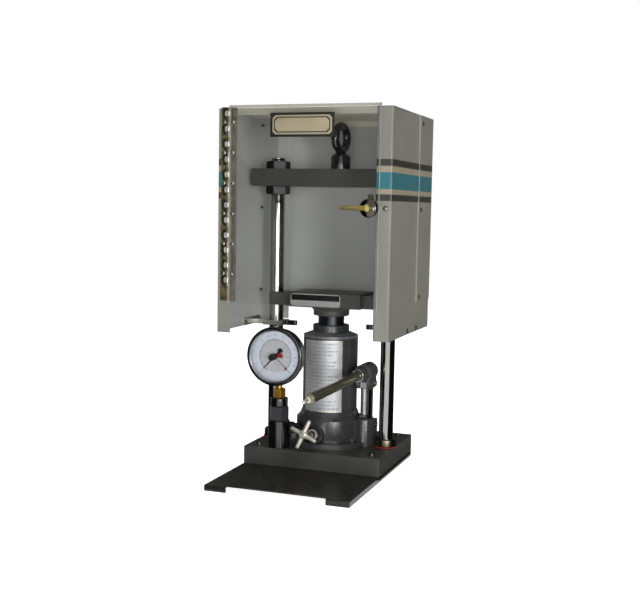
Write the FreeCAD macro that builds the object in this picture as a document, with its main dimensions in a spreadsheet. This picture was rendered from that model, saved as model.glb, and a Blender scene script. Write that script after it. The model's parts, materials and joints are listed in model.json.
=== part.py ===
import FreeCAD, Part
import math
import os

import Sketcher

# A two-column laboratory press on a bench plate. The hydraulic jack stands between the columns, a hand pump
# raises its ram, and a sheet-metal guard with a clear door shuts off the space between bolster and crosshead.
# The ram's axis is the Z axis, Z = 0 is the bench, the front is -Y and the right-hand side is +X. Millimetres.

VECTOR = FreeCAD.Vector
HEX_CORNER = 2 / math.sqrt(3)
OVERCUT = 1.0
HOLE_REACH = 6.0

SIZES = {
    # bench plate, a folded tray turned upside down
    "plate_width": "=column_spacing + 2 * plate_margin",
    "plate_margin": 22.5,
    "plate_gauge": 3.0,
    "plate_height": 13.0,
    "plate_front": 323.7,
    "plate_rear": 142.5,
    "plate_bend": 3.5,
    "plate_tab_width": 49.0,
    "plate_set_back": 9.7,
    # base block and its screws
    "base_front": "=gauge_front + base_margin",
    "base_margin": 26.3,
    "base_thickness": 37.5,
    "base_corner": 3.0,
    "base_screw_spacing": 262.0,
    "base_screw_front": 95.1,
    "base_screw_rear": 112.0,
    "base_screw_diameter": 8.0,
    "base_head_diameter": 13.0,
    "base_head_height": 5.0,
    "side_hole_diameter": 7.0,
    "side_hole_back": 60.0,
    "side_hole_rise": 19.0,
    "side_hole_depth": 14.0,
    # columns and what sits on them
    "column_spacing": 267.0,
    "column_diameter": 31.75,
    "column_length": 667.0,
    "column_seat": 7.0,
    "column_chamfer": 2.0,
    "column_clearance": 0.3,
    "washer_diameter": 50.0,
    "washer_thickness": 1.5,
    "collar_diameter": 47.0,
    "collar_height": 17.5,
    "collar_chamfer": 2.5,
    "nut_flats": 47.6,
    "nut_height": 19.1,
    # crosshead
    "crosshead_level": 573.0,
    "crosshead_width": "=guard_width - 2 * guard_gauge - 2 * crosshead_gap",
    "crosshead_gap": 11.5,
    "crosshead_depth": 104.0,
    "crosshead_height": 38.0,
    "crosshead_edge": 2.0,
    "spotface_diameter": 58.0,
    "spotface_depth": 0.8,
    # lifting eye
    "eye_offset": 15.0,
    "eye_boss_diameter": 44.0,
    "eye_boss_height": 28.5,
    "eye_neck_diameter": 26.0,
    "eye_neck_height": 8.0,
    "eye_ring_radius": 26.5,
    "eye_bar_radius": 9.0,
    "eye_sink": 3.0,
    "eye_shank_diameter": 20.0,
    "eye_shank_length": 28.0,
    # jack: casting, tubes, cap and gland
    "foot_radius": "=jack_radius + foot_ledge",
    "foot_ledge": 20.0,
    "foot_height": 11.5,
    "foot_edge": 3.0,
    "groove_radius": "=jack_radius - groove_depth",
    "groove_depth": 3.0,
    "groove_height": 4.0,
    "jack_radius": "=reservoir_diameter / 2 + jack_shoulder",
    "jack_shoulder": 12.75,
    "jack_wall_top": 57.5,
    "jack_top": 74.5,
    "jack_top_radius": "=reservoir_diameter / 2 + jack_lip",
    "jack_lip": 1.75,
    "tube_seat_depth": 6.0,
    "cylinder_seat_depth": 16.0,
    "seal_thickness": 2.0,
    "reservoir_diameter": "=2 * (pump_side - lever_gap)",
    "lever_gap": 22.75,
    "reservoir_wall": 4.0,
    "reservoir_top": 238.8,
    "cylinder_wall": 9.0,
    "seat_clearance": 0.25,
    "cap_band_height": 5.2,
    "cap_cone_radius": 47.0,
    "cap_cone_height": 10.6,
    "cap_height": 12.4,
    "cap_plug_height": 12.0,
    "gland_diameter": 81.6,
    "gland_height": 15.2,
    "gland_spigot_diameter": 66.0,
    "gland_spigot_height": 9.0,
    "gland_seal_height": 5.0,
    "gland_seal_width": 4.0,
    "filler_height": "=reservoir_top - cap_plug_height - filler_drop",
    "filler_drop": 26.8,
    "filler_diameter": 16.0,
    "filler_flats": 17.0,
    "filler_head": 7.0,
    "filler_flange": 2.0,
    "filler_nose": 0.5,
    # ram, its seal and the bolster
    "ram_diameter": 58.0,
    "ram_exposed": 20.6,
    "ram_spigot": 6.0,
    "piston_diameter": 68.0,
    "piston_height": 26.0,
    "piston_gap": 4.0,
    "ram_seal_height": 6.0,
    "ram_seal_depth": 4.0,
    "running_clearance": 0.05,
    "bolster_width": 166.0,
    "bolster_depth": 104.0,
    "bolster_height": 33.0,
    "arm_depth": 60.0,
    "arm_height": 28.0,
    "arm_overhang": 7.5,
    "arm_tip_round": 6.0,
    "notch_clearance": 0.8,
    "hub_height": 19.5,
    "hub_bottom_diameter": 80.0,
    "hub_top_diameter": 103.0,
    "bolster_edge": 1.5,
    # hand pump and its lever
    "pump_side": "=column_spacing / 2 - pump_inset",
    "pump_inset": 49.5,
    "pump_front": 5.0,
    "pump_boss_radius": 23.0,
    "pump_boss_height": 63.0,
    "pump_floor": 8.0,
    "gland_nut_flats": 28.0,
    "gland_nut_height": 6.0,
    "plunger_diameter": 18.0,
    "plunger_tail": 27.0,
    "plunger_eye_width": 16.0,
    "plunger_eye_height": 20.0,
    "pivot_level": 135.5,
    "pivot_reach": 30.0,
    "pivot_diameter": 9.0,
    "pivot_slack": 0.8,
    "cheek_slot": 19.0,
    "lever_width": 30.0,
    "lever_front": 20.0,
    "lever_back": 4.0,
    "lever_foot": 8.5,
    "socket_rise": 27.5,
    "socket_radius": 20.0,
    "socket_back_wall": 7.0,
    "socket_neck_radius": 15.5,
    "sleeve_diameter": 30.0,
    "sleeve_length": 7.0,
    "sleeve_reach": 57.0,
    "handle_diameter": 20.0,
    "handle_reach": 357.0,
    "handle_cap_diameter": 12.0,
    "handle_cap_length": 13.0,
    "handle_tip_diameter": 7.0,
    "handle_tip_length": 24.0,
    "handle_clearance": 0.3,
    "link_width": 18.5,
    "link_half_height": 8.0,
    "foot_pin_level": 42.0,
    "lug_width": 36.0,
    "lug_depth": 26.0,
    "lug_top": 54.0,
    "link_side_gap": 0.5,
    # release valve
    "valve_level": 29.3,
    "valve_side": -3.4,
    "valve_front": "=jack_radius + valve_boss_front",
    "valve_boss_front": 11.0,
    "valve_reach": 65.0,
    "valve_turn": -5.2,
    "valve_tilt": 12.2,
    "valve_boss_diameter": 36.0,
    "valve_boss_root": 50.0,
    "bonnet_flats": 26.0,
    "bonnet_length": 16.0,
    "stem_diameter": 11.0,
    "stem_depth": 34.0,
    "cross_radius": 33.7,
    "cross_hub_diameter": 19.0,
    "cross_hub_length": 13.0,
    "cross_arm_root": 5.6,
    "cross_arm_tip": 4.6,
    "cross_start": 63.8,
    # pressure gauge and its stack
    "gauge_side": "=jack_radius + gauge_side_gap",
    "gauge_side_gap": 9.0,
    "gauge_front": "=jack_radius + gauge_front_gap",
    "gauge_front_gap": 25.0,
    "gauge_block_diameter": 48.0,
    "gauge_block_height": 60.2,
    "snubber_flats": 39.0,
    "snubber_height": 30.8,
    "coupling_diameter": 38.0,
    "coupling_height": 18.8,
    "adapter_flats": 25.0,
    "adapter_height": 20.2,
    "adapter_neck_diameter": 13.0,
    "gauge_rise": 204.0,
    "case_radius": 58.0,
    "case_back_gap": -8.0,
    "case_wall": 1.5,
    "case_rim": 2.0,
    "socket_drop": 41.0,
    "socket_width": 18.0,
    "socket_depth": 16.0,
    "bourdon_share": 0.62,
    "bourdon_tube_radius": 3.0,
    "bezel_radius": 64.5,
    "bezel_face": 35.6,
    "bezel_depth": 10.0,
    "bezel_lip": 59.5,
    "bezel_bore": 62.2,
    "glass_thickness": 2.0,
    "glass_depth": 3.0,
    "dial_depth": 9.0,
    "dial_thickness": 1.0,
    "dial_radius": 61.0,
    "pointer_gap": 0.8,
    "pointer_thickness": 0.6,
    "pointer_length": 40.0,
    "pointer_tail": 20.0,
    "pointer_width": 2.8,
    "arbor_diameter": 3.0,
    "set_hand_length": 44.0,
    "set_hand_tail": 12.0,
    "set_hand_width": 1.4,
    "knob_radius": 7.4,
    "knob_height": 19.0,
    "pipe_radius": 14.0,
    "pipe_level": 34.5,
    "pipe_collar_radius": 18.0,
    "pipe_collar_length": 12.0,
    "pipe_plug_radius": 6.5,
    "pipe_plug_drop": 9.0,
    "pipe_plug_reach": 22.0,
    # guard
    "guard_width": 380.0,
    "guard_front": 196.0,
    "guard_rear": 131.0,
    "guard_bottom": 309.5,
    "guard_top_level": 780.0,
    "guard_gauge": 1.5,
    "guard_flange_left": 30.4,
    "guard_flange_right": 33.0,
    "guard_bend": 3.0,
    "guard_return": 35.0,
    "guard_top_lip": 14.0,
    "cover_bottom": 373.7,
    "cover_flange_front": 11.0,
    "guard_screw_radius": 3.0,
    "guard_head_radius": 5.5,
    "guard_head_height": 2.6,
    "guard_screw_length": 8.0,
    "cover_screw_back": 33.0,
    "cover_screw_top": 763.0,
    "cover_screw_middle": 576.0,
    "cover_screw_bottom": 385.0,
    "strap_level": 309.5,
    "strap_height": 10.5,
    "strap_depth": 7.0,
    "strap_clamp_wall": 7.0,
    "strap_foot_front": 62.0,
    "strap_foot_rear": 27.0,
    "strap_foot_height": 16.5,
    "strap_foot_gauge": 3.0,
    "strap_screw_front": 54.6,
    "strap_screw_rear": 19.5,
    "strap_screw_rise": 8.5,
    "clamp_knob_depth": 12.0,
    "clamp_knob_reach": 28.0,
    # door
    "hinge_side": "=guard_width / 2 - hinge_inset",
    "hinge_inset": 25.0,
    "hinge_pin_diameter": 3.0,
    "hinge_knuckle_radius": 3.0,
    "hinge_gauge": 1.5,
    "hinge_leaf_width": 17.6,
    "hinge_bottom": 377.0,
    "hinge_knuckle_count": 13.0,
    "hinge_knuckle_gap": 0.4,
    "hinge_screw_first": 434.5,
    "hinge_screw_pitch": 63.3,
    "hinge_screw_count": 6.0,
    "hinge_screw_radius": 2.0,
    "hinge_head_radius": 3.8,
    "hinge_head_height": 1.8,
    "door_thickness": 5.0,
    "door_left_gap": 3.4,
    "door_right": "=guard_width / 2 - door_inset",
    "door_inset": 24.0,
    "door_bottom": 373.5,
    "door_top": 785.5,
    "nameplate_width": 139.0,
    "nameplate_height": 49.0,
    "nameplate_level": 744.0,
    "nameplate_thickness": 1.5,
    "nameplate_corner": 6.0,
    # latch
    "latch_side": "=door_right - latch_inset",
    "latch_inset": 21.0,
    "latch_level": 577.4,
    "latch_plate_diameter": 38.0,
    "latch_plate_rim": 1.8,
    "latch_plate_rise": 7.0,
    "latch_barrel_diameter": 15.0,
    "latch_barrel_length": 11.0,
    "latch_stem_diameter": 8.0,
    "latch_neck_diameter": 10.5,
    "latch_neck_reach": 35.0,
    "latch_rod_diameter": 8.0,
    "latch_rod_reach": 58.0,
    "latch_pawl_length": 27.5,
    "latch_pawl_width": 12.0,
    "latch_pawl_thickness": 2.5,
    "latch_pawl_gap": 1.4,
    "strike_offset": 32.4,
}

doc = FreeCAD.newDocument("laboratory_press")
sheet = doc.addObject("Spreadsheet::Sheet", "sizes")


class Size:
    """A length that knows both its value and the expression behind it."""

    def __init__(self, text, value):
        self.text = text
        self.value = value

    def join(self, sign, other, value):
        return Size(f"({self.text} {sign} {as_size(other).text})", value)

    def __add__(self, other):
        return self.join("+", other, self.value + as_size(other).value)

    def __sub__(self, other):
        return self.join("-", other, self.value - as_size(other).value)

    def __mul__(self, other):
        return self.join("*", other, self.value * as_size(other).value)

    def __truediv__(self, other):
        return self.join("/", other, self.value / as_size(other).value)

    def __radd__(self, other):
        return as_size(other) + self

    def __rsub__(self, other):
        return as_size(other) - self

    def __rmul__(self, other):
        return as_size(other) * self

    def __neg__(self):
        return Size(f"(0 - {self.text})", -self.value)


def as_size(number):
    """A plain number as a size, and a size as it is."""
    if isinstance(number, Size):
        return number
    return Size(repr(float(number)), float(number))


class SizeSheet:
    """Every size by its name in the sheet, where a text is a size worked out from others."""

    def __init__(self, numbers):
        for row, name in enumerate(numbers, start=1):
            sheet.set(f"A{row}", name)
            sheet.setAlias(f"B{row}", name)
        for row, number in enumerate(numbers.values(), start=1):
            sheet.set(f"B{row}", str(number))
        doc.recompute()

    def __getattr__(self, name):
        return Size(f"sizes.{name}", float(sheet.get(name)))


d = SizeSheet(SIZES)

used_names = {}


def unused(name):
    """The name, with a number after it when it's taken."""
    used_names[name] = used_names.get(name, 0) + 1
    if used_names[name] == 1:
        return name
    return f"{name}_{used_names[name]}"


def bind(thing, prop, length):
    """Tie a property to a size."""
    thing.setExpression(prop, as_size(length).text)


def place(thing, at, rotation=None):
    """Put a thing at a point given by sizes, turned by a fixed rotation."""
    base = VECTOR(*[as_size(value).value for value in at])
    thing.Placement = FreeCAD.Placement(base, rotation or FreeCAD.Rotation())
    for axis, value in zip("xyz", at):
        bind(thing, f"Placement.Base.{axis}", value)
    return thing


def towards(x, y, z):
    """The rotation that takes Z to a direction."""
    return FreeCAD.Rotation(VECTOR(0, 0, 1), VECTOR(x, y, z))


UPWARDS = VECTOR(0, 0, 1)
ALONG_X = FreeCAD.Rotation(VECTOR(0, 1, 0), 90)
ALONG_Y = FreeCAD.Rotation(VECTOR(1, 0, 0), -90)
FACING_FRONT = FreeCAD.Rotation(VECTOR(1, 0, 0), 90)


def box(name, x, y, z):
    """A block between two corners, each side a low and a high size."""
    block = doc.addObject("Part::Box", unused(name))
    place(block, (x[0], y[0], z[0]))
    for prop, (low, high) in zip(("Length", "Width", "Height"), (x, y, z)):
        bind(block, prop, high - low)
    return block


def rod(name, radius, at, length, rotation=None):
    """A round bar that starts at a point."""
    bar = doc.addObject("Part::Cylinder", unused(name))
    bind(bar, "Radius", radius)
    bind(bar, "Height", length)
    return place(bar, at, rotation)


def cone(name, bottom, top, at, length, rotation=None):
    """A tapered round bar that starts at a point."""
    bar = doc.addObject("Part::Cone", unused(name))
    bind(bar, "Radius1", bottom)
    bind(bar, "Radius2", top)
    bind(bar, "Height", length)
    return place(bar, at, rotation)


def ring(name, radius, bar_radius, at, rotation=None):
    """A round bar bent into a ring."""
    torus = doc.addObject("Part::Torus", unused(name))
    bind(torus, "Radius1", radius)
    bind(torus, "Radius2", bar_radius)
    return place(torus, at, rotation)


def hexagon(name, flats, at, length, rotation=None):
    """A six-sided bar that starts at a point."""
    bar = doc.addObject("Part::Prism", unused(name))
    bar.Polygon = 6
    bind(bar, "Circumradius", flats * HEX_CORNER / 2)
    bind(bar, "Height", length)
    return place(bar, at, rotation)


def fuse(name, pieces):
    """Several features as one solid."""
    whole = doc.addObject("Part::MultiFuse", unused(name))
    whole.Shapes = pieces
    whole.Refine = True
    return whole


def cut(name, base, tools):
    """A feature less one or more others."""
    if isinstance(tools, list):
        tools = tools[0] if len(tools) == 1 else fuse(f"{name}_tools", tools)
    rest = doc.addObject("Part::Cut", unused(name))
    rest.Base = base
    rest.Tool = tools
    rest.Refine = True
    return rest


def common(name, first, second):
    """What two features share."""
    shared = doc.addObject("Part::Common", unused(name))
    shared.Base = first
    shared.Tool = second
    return shared


def group(name, pieces):
    """Separate solids kept as one sub-part."""
    compound = doc.addObject("Part::Compound", unused(name))
    compound.Links = pieces
    return compound


def origin_plane(body, role):
    """One of the body's own origin planes."""
    return [item for item in body.Origin.OriginFeatures if item.Role == role][0]


def outline_sketch(body, name, points, role):
    """A closed outline of straight lines, each corner held by two bound distances."""
    sketch = body.newObject("Sketcher::SketchObject", unused(f"{name}_outline"))
    sketch.AttachmentSupport = [(origin_plane(body, role), "")]
    sketch.MapMode = "FlatFace"
    corners = [(as_size(u), as_size(v)) for u, v in points]
    count = len(corners)
    for index in range(count):
        start = corners[index]
        end = corners[(index + 1) % count]
        first = VECTOR(start[0].value, start[1].value, 0)
        second = VECTOR(end[0].value, end[1].value, 0)
        line = Part.LineSegment(first, second)
        sketch.addGeometry(line, False)
    for index in range(count):
        sketch.addConstraint(Sketcher.Constraint("Coincident", index, 2, (index + 1) % count, 1))
    for index, corner in enumerate(corners):
        for kind, value in zip(("DistanceX", "DistanceY"), corner):
            if value.value == 0.0 and value.text == "0.0":
                target = "PointOnObject"
                axis = -2 if kind == "DistanceX" else -1
                sketch.addConstraint(Sketcher.Constraint(target, index, 1, axis))
                continue
            held = sketch.addConstraint(Sketcher.Constraint(kind, -1, 1, index, 1, value.value))
            sketch.setExpression(f"Constraints[{held}]", value.text)
    return sketch


def turned(name, points, at=(0, 0, 0), rotation=None):
    """A turned piece: its half section, as radius and height, goes once round the axis."""
    body = doc.addObject("PartDesign::Body", unused(name))
    sketch = outline_sketch(body, name, points, "XZ_Plane")
    turn = body.newObject("PartDesign::Revolution", unused(f"{name}_turn"))
    turn.Profile = sketch
    turn.ReferenceAxis = (sketch, ["V_Axis"])
    turn.Angle = 360
    return place(body, at, rotation)


PLANES = {"z": "XY_Plane", "y": "XZ_Plane", "x": "YZ_Plane"}


def extruded(name, points, thickness, at=(0, 0, 0), normal="z", rotation=None):
    """A flat outline given a thickness along +Z, -Y or +X, the plane's own normal."""
    body = doc.addObject("PartDesign::Body", unused(name))
    sketch = outline_sketch(body, name, points, PLANES[normal])
    pad = body.newObject("PartDesign::Pad", unused(f"{name}_pad"))
    pad.Profile = sketch
    bind(pad, "Length", thickness)
    return place(body, at, rotation)


def edge_names(shape, wanted):
    """The names of the edges that pass a test."""
    return [f"Edge{number}" for number, edge in enumerate(shape.Edges, start=1) if wanted(edge)]


def dress(body, kind, radius, wanted):
    """Round or chamfer the body's edges that pass a test."""
    doc.recompute()
    last = body.Tip
    names = edge_names(last.Shape, wanted)
    if not names:
        raise ValueError(f"no edge to dress on {body.Name}")
    finish = body.newObject(f"PartDesign::{kind}", unused(f"{body.Name}_{kind.lower()}"))
    finish.Base = (last, names)
    bind(finish, "Radius" if kind == "Fillet" else "Size", radius)
    body.Tip = finish
    return body


def runs_along(edge, axis):
    """Whether an edge is a straight one along a direction."""
    return edge.Curve.TypeId == "Part::GeomLine" and abs(edge.Curve.Direction.dot(axis)) > 0.999


def lies_at(edge, level, slack=0.05):
    """Whether an edge lies flat at a height."""
    return abs(edge.BoundBox.ZMin - level) < slack and abs(edge.BoundBox.ZMax - level) < slack


nodes = {}


def node(label, feature):
    """Name a finished sub-part."""
    feature.Label = label
    nodes[label] = feature
    return feature


def both(value):
    """The same distance to the left and to the right."""
    return (-value, value)


base_top = d.plate_height + d.base_thickness
column_side = d.column_spacing / 2
column_radius = d.column_diameter / 2
column_bore = column_radius + d.column_clearance
column_foot = d.plate_height + d.column_seat
column_sides = (-column_side, column_side)
base_screw_way = d.base_screw_diameter / 2 + d.seat_clearance


def make_bench_plate():
    """The tray under the press: its flanges stand on the bench, and the front flange is left as two tabs."""
    half = d.plate_width / 2
    inner = half - d.plate_gauge
    tray = extruded(
        "tray",
        [(-half, -d.plate_front), (half, -d.plate_front), (half, d.plate_rear), (-half, d.plate_rear)],
        d.plate_height,
    )
    top = d.plate_height.value
    dress(tray, "Fillet", d.plate_bend, lambda edge: lies_at(edge, top) or runs_along(edge, UPWARDS))
    hollow = box(
        "tray_hollow",
        both(inner),
        (-d.plate_front + d.plate_gauge, d.plate_rear - d.plate_gauge),
        (as_size(-OVERCUT), d.plate_height - d.plate_gauge),
    )
    notch_half = half - d.plate_tab_width
    notch = box(
        "tray_notch",
        both(notch_half),
        (-d.plate_front - OVERCUT, -d.plate_front + d.plate_set_back),
        (as_size(-OVERCUT), d.plate_height + OVERCUT),
    )
    holes = [
        rod("tray_hole", base_screw_way, (x, y, as_size(0)), d.plate_height + OVERCUT)
        for x, y in base_screw_places()
    ]
    return node("bench_plate", cut("bench_plate_body", tray, [hollow, notch] + holes))


def base_screw_places():
    """Where the four screws go through the base block."""
    half = d.base_screw_spacing / 2
    return [(x, y) for x in (-half, half) for y in (-d.base_screw_front, d.base_screw_rear)]


def make_base_block():
    """The thick steel base that the columns and the jack stand on."""
    half = d.plate_width / 2
    block = extruded(
        "base",
        [(-half, -d.base_front), (half, -d.base_front), (half, d.plate_rear), (-half, d.plate_rear)],
        d.base_thickness,
        (0, 0, d.plate_height),
    )
    top = d.base_thickness.value
    dress(block, "Fillet", d.base_corner, lambda edge: runs_along(edge, UPWARDS))
    dress(block, "Fillet", d.base_corner / 3, lambda edge: lies_at(edge, top))
    sockets = [
        rod("column_socket", column_bore, (x, 0, column_foot), d.base_thickness) for x in column_sides
    ]
    screws = [
        rod("base_screw_hole", base_screw_way, (x, y, as_size(0)), base_top + OVERCUT)
        for x, y in base_screw_places()
    ]
    side = rod(
        "side_hole",
        d.side_hole_diameter / 2,
        (half - d.side_hole_depth, -d.side_hole_back, d.plate_height + d.side_hole_rise),
        d.side_hole_depth + OVERCUT,
        ALONG_X,
    )
    return node("base_block", cut("base_block_body", block, sockets + screws + [side]))


def make_base_screws():
    """Four socket screws that hold the base block to the bench plate."""
    screws = []
    head = d.base_head_diameter / 2
    socket = d.base_head_height * 0.6
    for x, y in base_screw_places():
        shank = d.base_screw_diameter / 2
        length = d.base_thickness + d.plate_gauge
        screw = turned(
            "base_screw",
            [
                (0, -length),
                (shank, -length),
                (shank, 0),
                (head, 0),
                (head, d.base_head_height * 0.8),
                (head * 0.88, d.base_head_height),
                (0, d.base_head_height),
            ],
            (x, y, base_top),
        )
        key_level = base_top + d.base_head_height - socket
        key = hexagon("key", d.base_screw_diameter * 0.75, (x, y, key_level), socket + OVERCUT)
        screws.append(cut("socket_screw", screw, [key]))
    return node("base_screws", group("base_screws_set", screws))


def make_columns():
    """Two ground round columns, chamfered at both ends."""
    chamfer = d.column_chamfer
    length = d.column_length
    columns = [
        turned(
            "column",
            [
                (0, 0),
                (column_radius - chamfer, 0),
                (column_radius, chamfer),
                (column_radius, length - chamfer),
                (column_radius - chamfer, length),
                (0, length),
            ],
            (x, 0, column_foot),
        )
        for x in column_sides
    ]
    return node("columns", group("columns_set", columns))


def make_column_feet():
    """A red fibre washer and a chamfered steel collar round the foot of each column."""
    washer = d.washer_diameter / 2
    collar = d.collar_diameter / 2
    chamfer = d.collar_chamfer
    height = d.collar_height
    washers = []
    collars = []
    for x in column_sides:
        washers.append(
            turned(
                "washer",
                [
                    (column_bore, 0),
                    (washer, 0),
                    (washer, d.washer_thickness),
                    (column_bore, d.washer_thickness),
                ],
                (x, 0, base_top),
            )
        )
        collars.append(
            turned(
                "collar",
                [
                    (column_bore, 0),
                    (collar - chamfer / 2, 0),
                    (collar, chamfer / 2),
                    (collar, height - chamfer),
                    (collar - chamfer, height),
                    (column_bore, height),
                ],
                (x, 0, base_top + d.washer_thickness),
            )
        )
    node("column_washers", group("column_washers_set", washers))
    node("column_collars", group("column_collars_set", collars))


crosshead_bottom = base_top + d.crosshead_level
crosshead_top = crosshead_bottom + d.crosshead_height


def make_crosshead():
    """The upper block that takes the load: bored and spot-faced for columns and nuts, tapped for the eye."""
    half = d.crosshead_width / 2
    deep = d.crosshead_depth / 2
    block = extruded(
        "head",
        [(-half, -deep), (half, -deep), (half, deep), (-half, deep)],
        d.crosshead_height,
        (0, 0, crosshead_bottom),
    )
    dress(block, "Fillet", d.crosshead_edge, lambda edge: True)
    bores = [
        rod("head_bore", column_bore, (x, 0, crosshead_bottom - OVERCUT), d.crosshead_height + 2 * OVERCUT)
        for x in column_sides
    ]
    spotfaces = [
        rod("spotface", d.spotface_diameter / 2, (x, 0, level), d.spotface_depth + OVERCUT)
        for x in column_sides
        for level in (crosshead_bottom - OVERCUT, crosshead_top - d.spotface_depth)
    ]
    tapping = rod(
        "eye_tapping",
        d.eye_shank_diameter / 2 + d.seat_clearance,
        (d.eye_offset, 0, crosshead_top - d.eye_shank_length - d.seat_clearance),
        d.eye_shank_length + d.seat_clearance + OVERCUT,
    )
    return node("crosshead", cut("crosshead_body", block, bores + spotfaces + [tapping]))


def chamfered_hexagon(name, flats, height, at, bore=None, rotation=None):
    """A nut: a hexagon whose corners are turned off at both ends, bored when a bore is given."""
    bar = hexagon(f"{name}_bar", flats, at, height, rotation)
    corner = flats * HEX_CORNER / 2
    inner = flats / 2 * 0.96
    drop = (corner - inner) * 0.5
    start = 0 if bore is None else bore
    outline = [
        (start, 0),
        (inner, 0),
        (corner, drop),
        (corner, height - drop),
        (inner, height),
        (start, height),
    ]
    blank = turned(f"{name}_blank", outline, at, rotation)
    return common(name, bar, blank)


def make_crosshead_nuts():
    """Four thin jam nuts that lock the crosshead to the columns, one above and one below on each side."""
    levels = (crosshead_bottom + d.spotface_depth - d.nut_height, crosshead_top - d.spotface_depth)
    turn = FreeCAD.Rotation(30, 0, 0)
    nuts = [
        chamfered_hexagon("jam_nut", d.nut_flats, d.nut_height, (x, 0, level), column_bore, turn)
        for x in column_sides
        for level in levels
    ]
    return node("crosshead_nuts", group("crosshead_nuts_set", nuts))


EYE_TURN = 80.0


def make_lifting_eye():
    """A forged eye bolt screwed into the crosshead, turned almost edge-on to the front."""
    shank = d.eye_shank_diameter / 2
    boss = d.eye_boss_diameter / 2
    neck = d.eye_neck_diameter / 2
    neck_top = d.eye_boss_height + d.eye_neck_height
    stem = turned(
        "eye_stem",
        [
            (0, -d.eye_shank_length),
            (shank, -d.eye_shank_length),
            (shank, 0),
            (boss - 1, 0),
            (boss, 1),
            (boss, d.eye_boss_height),
            (neck, neck_top),
            (0, neck_top),
        ],
        (d.eye_offset, 0, crosshead_top),
    )
    centre = crosshead_top + neck_top + d.eye_ring_radius + d.eye_bar_radius - d.eye_sink
    turn = FreeCAD.Rotation(EYE_TURN, 0, 90)
    loop = ring("eye_loop", d.eye_ring_radius, d.eye_bar_radius, (d.eye_offset, 0, centre), turn)
    return node("lifting_eye", fuse("lifting_eye_body", [stem, loop]))


jack_top = base_top + d.jack_top
tube_seat = jack_top - d.tube_seat_depth
cylinder_seat = jack_top - d.cylinder_seat_depth
tube_bottom = tube_seat + d.seal_thickness
tube_top = base_top + d.reservoir_top
reservoir_radius = d.reservoir_diameter / 2
reservoir_bore = reservoir_radius - d.reservoir_wall
cylinder_bore = d.piston_diameter / 2 + d.running_clearance
cylinder_radius = cylinder_bore + d.cylinder_wall
cylinder_bottom = cylinder_seat + d.seal_thickness
cap_top = tube_top + d.cap_height
gland_top = cap_top + d.gland_height
ram_radius = d.ram_diameter / 2
pump_x = d.pump_side
pump_y = -d.pump_front
pump_boss_top = base_top + d.pump_boss_height
plunger_radius = d.plunger_diameter / 2
pivot_z = base_top + d.pivot_level
fulcrum_y = pump_y + d.pivot_reach
foot_pin_z = base_top + d.foot_pin_level
lug_top = base_top + d.lug_top
valve_z = base_top + d.valve_level

VALVE_TURN = math.radians(d.valve_turn.value)
VALVE_TILT = math.radians(d.valve_tilt.value)
VALVE_WAY = VECTOR(
    math.sin(VALVE_TURN) * math.cos(VALVE_TILT),
    -math.cos(VALVE_TURN) * math.cos(VALVE_TILT),
    math.sin(VALVE_TILT),
)
VALVE_ROTATION = towards(*VALVE_WAY)


def on_valve(distance):
    """A point on the release valve's axis, measured out from the mouth of its boss."""
    start = (d.valve_side, -d.valve_front, valve_z)
    return tuple(value + distance * share for value, share in zip(start, VALVE_WAY))


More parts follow.
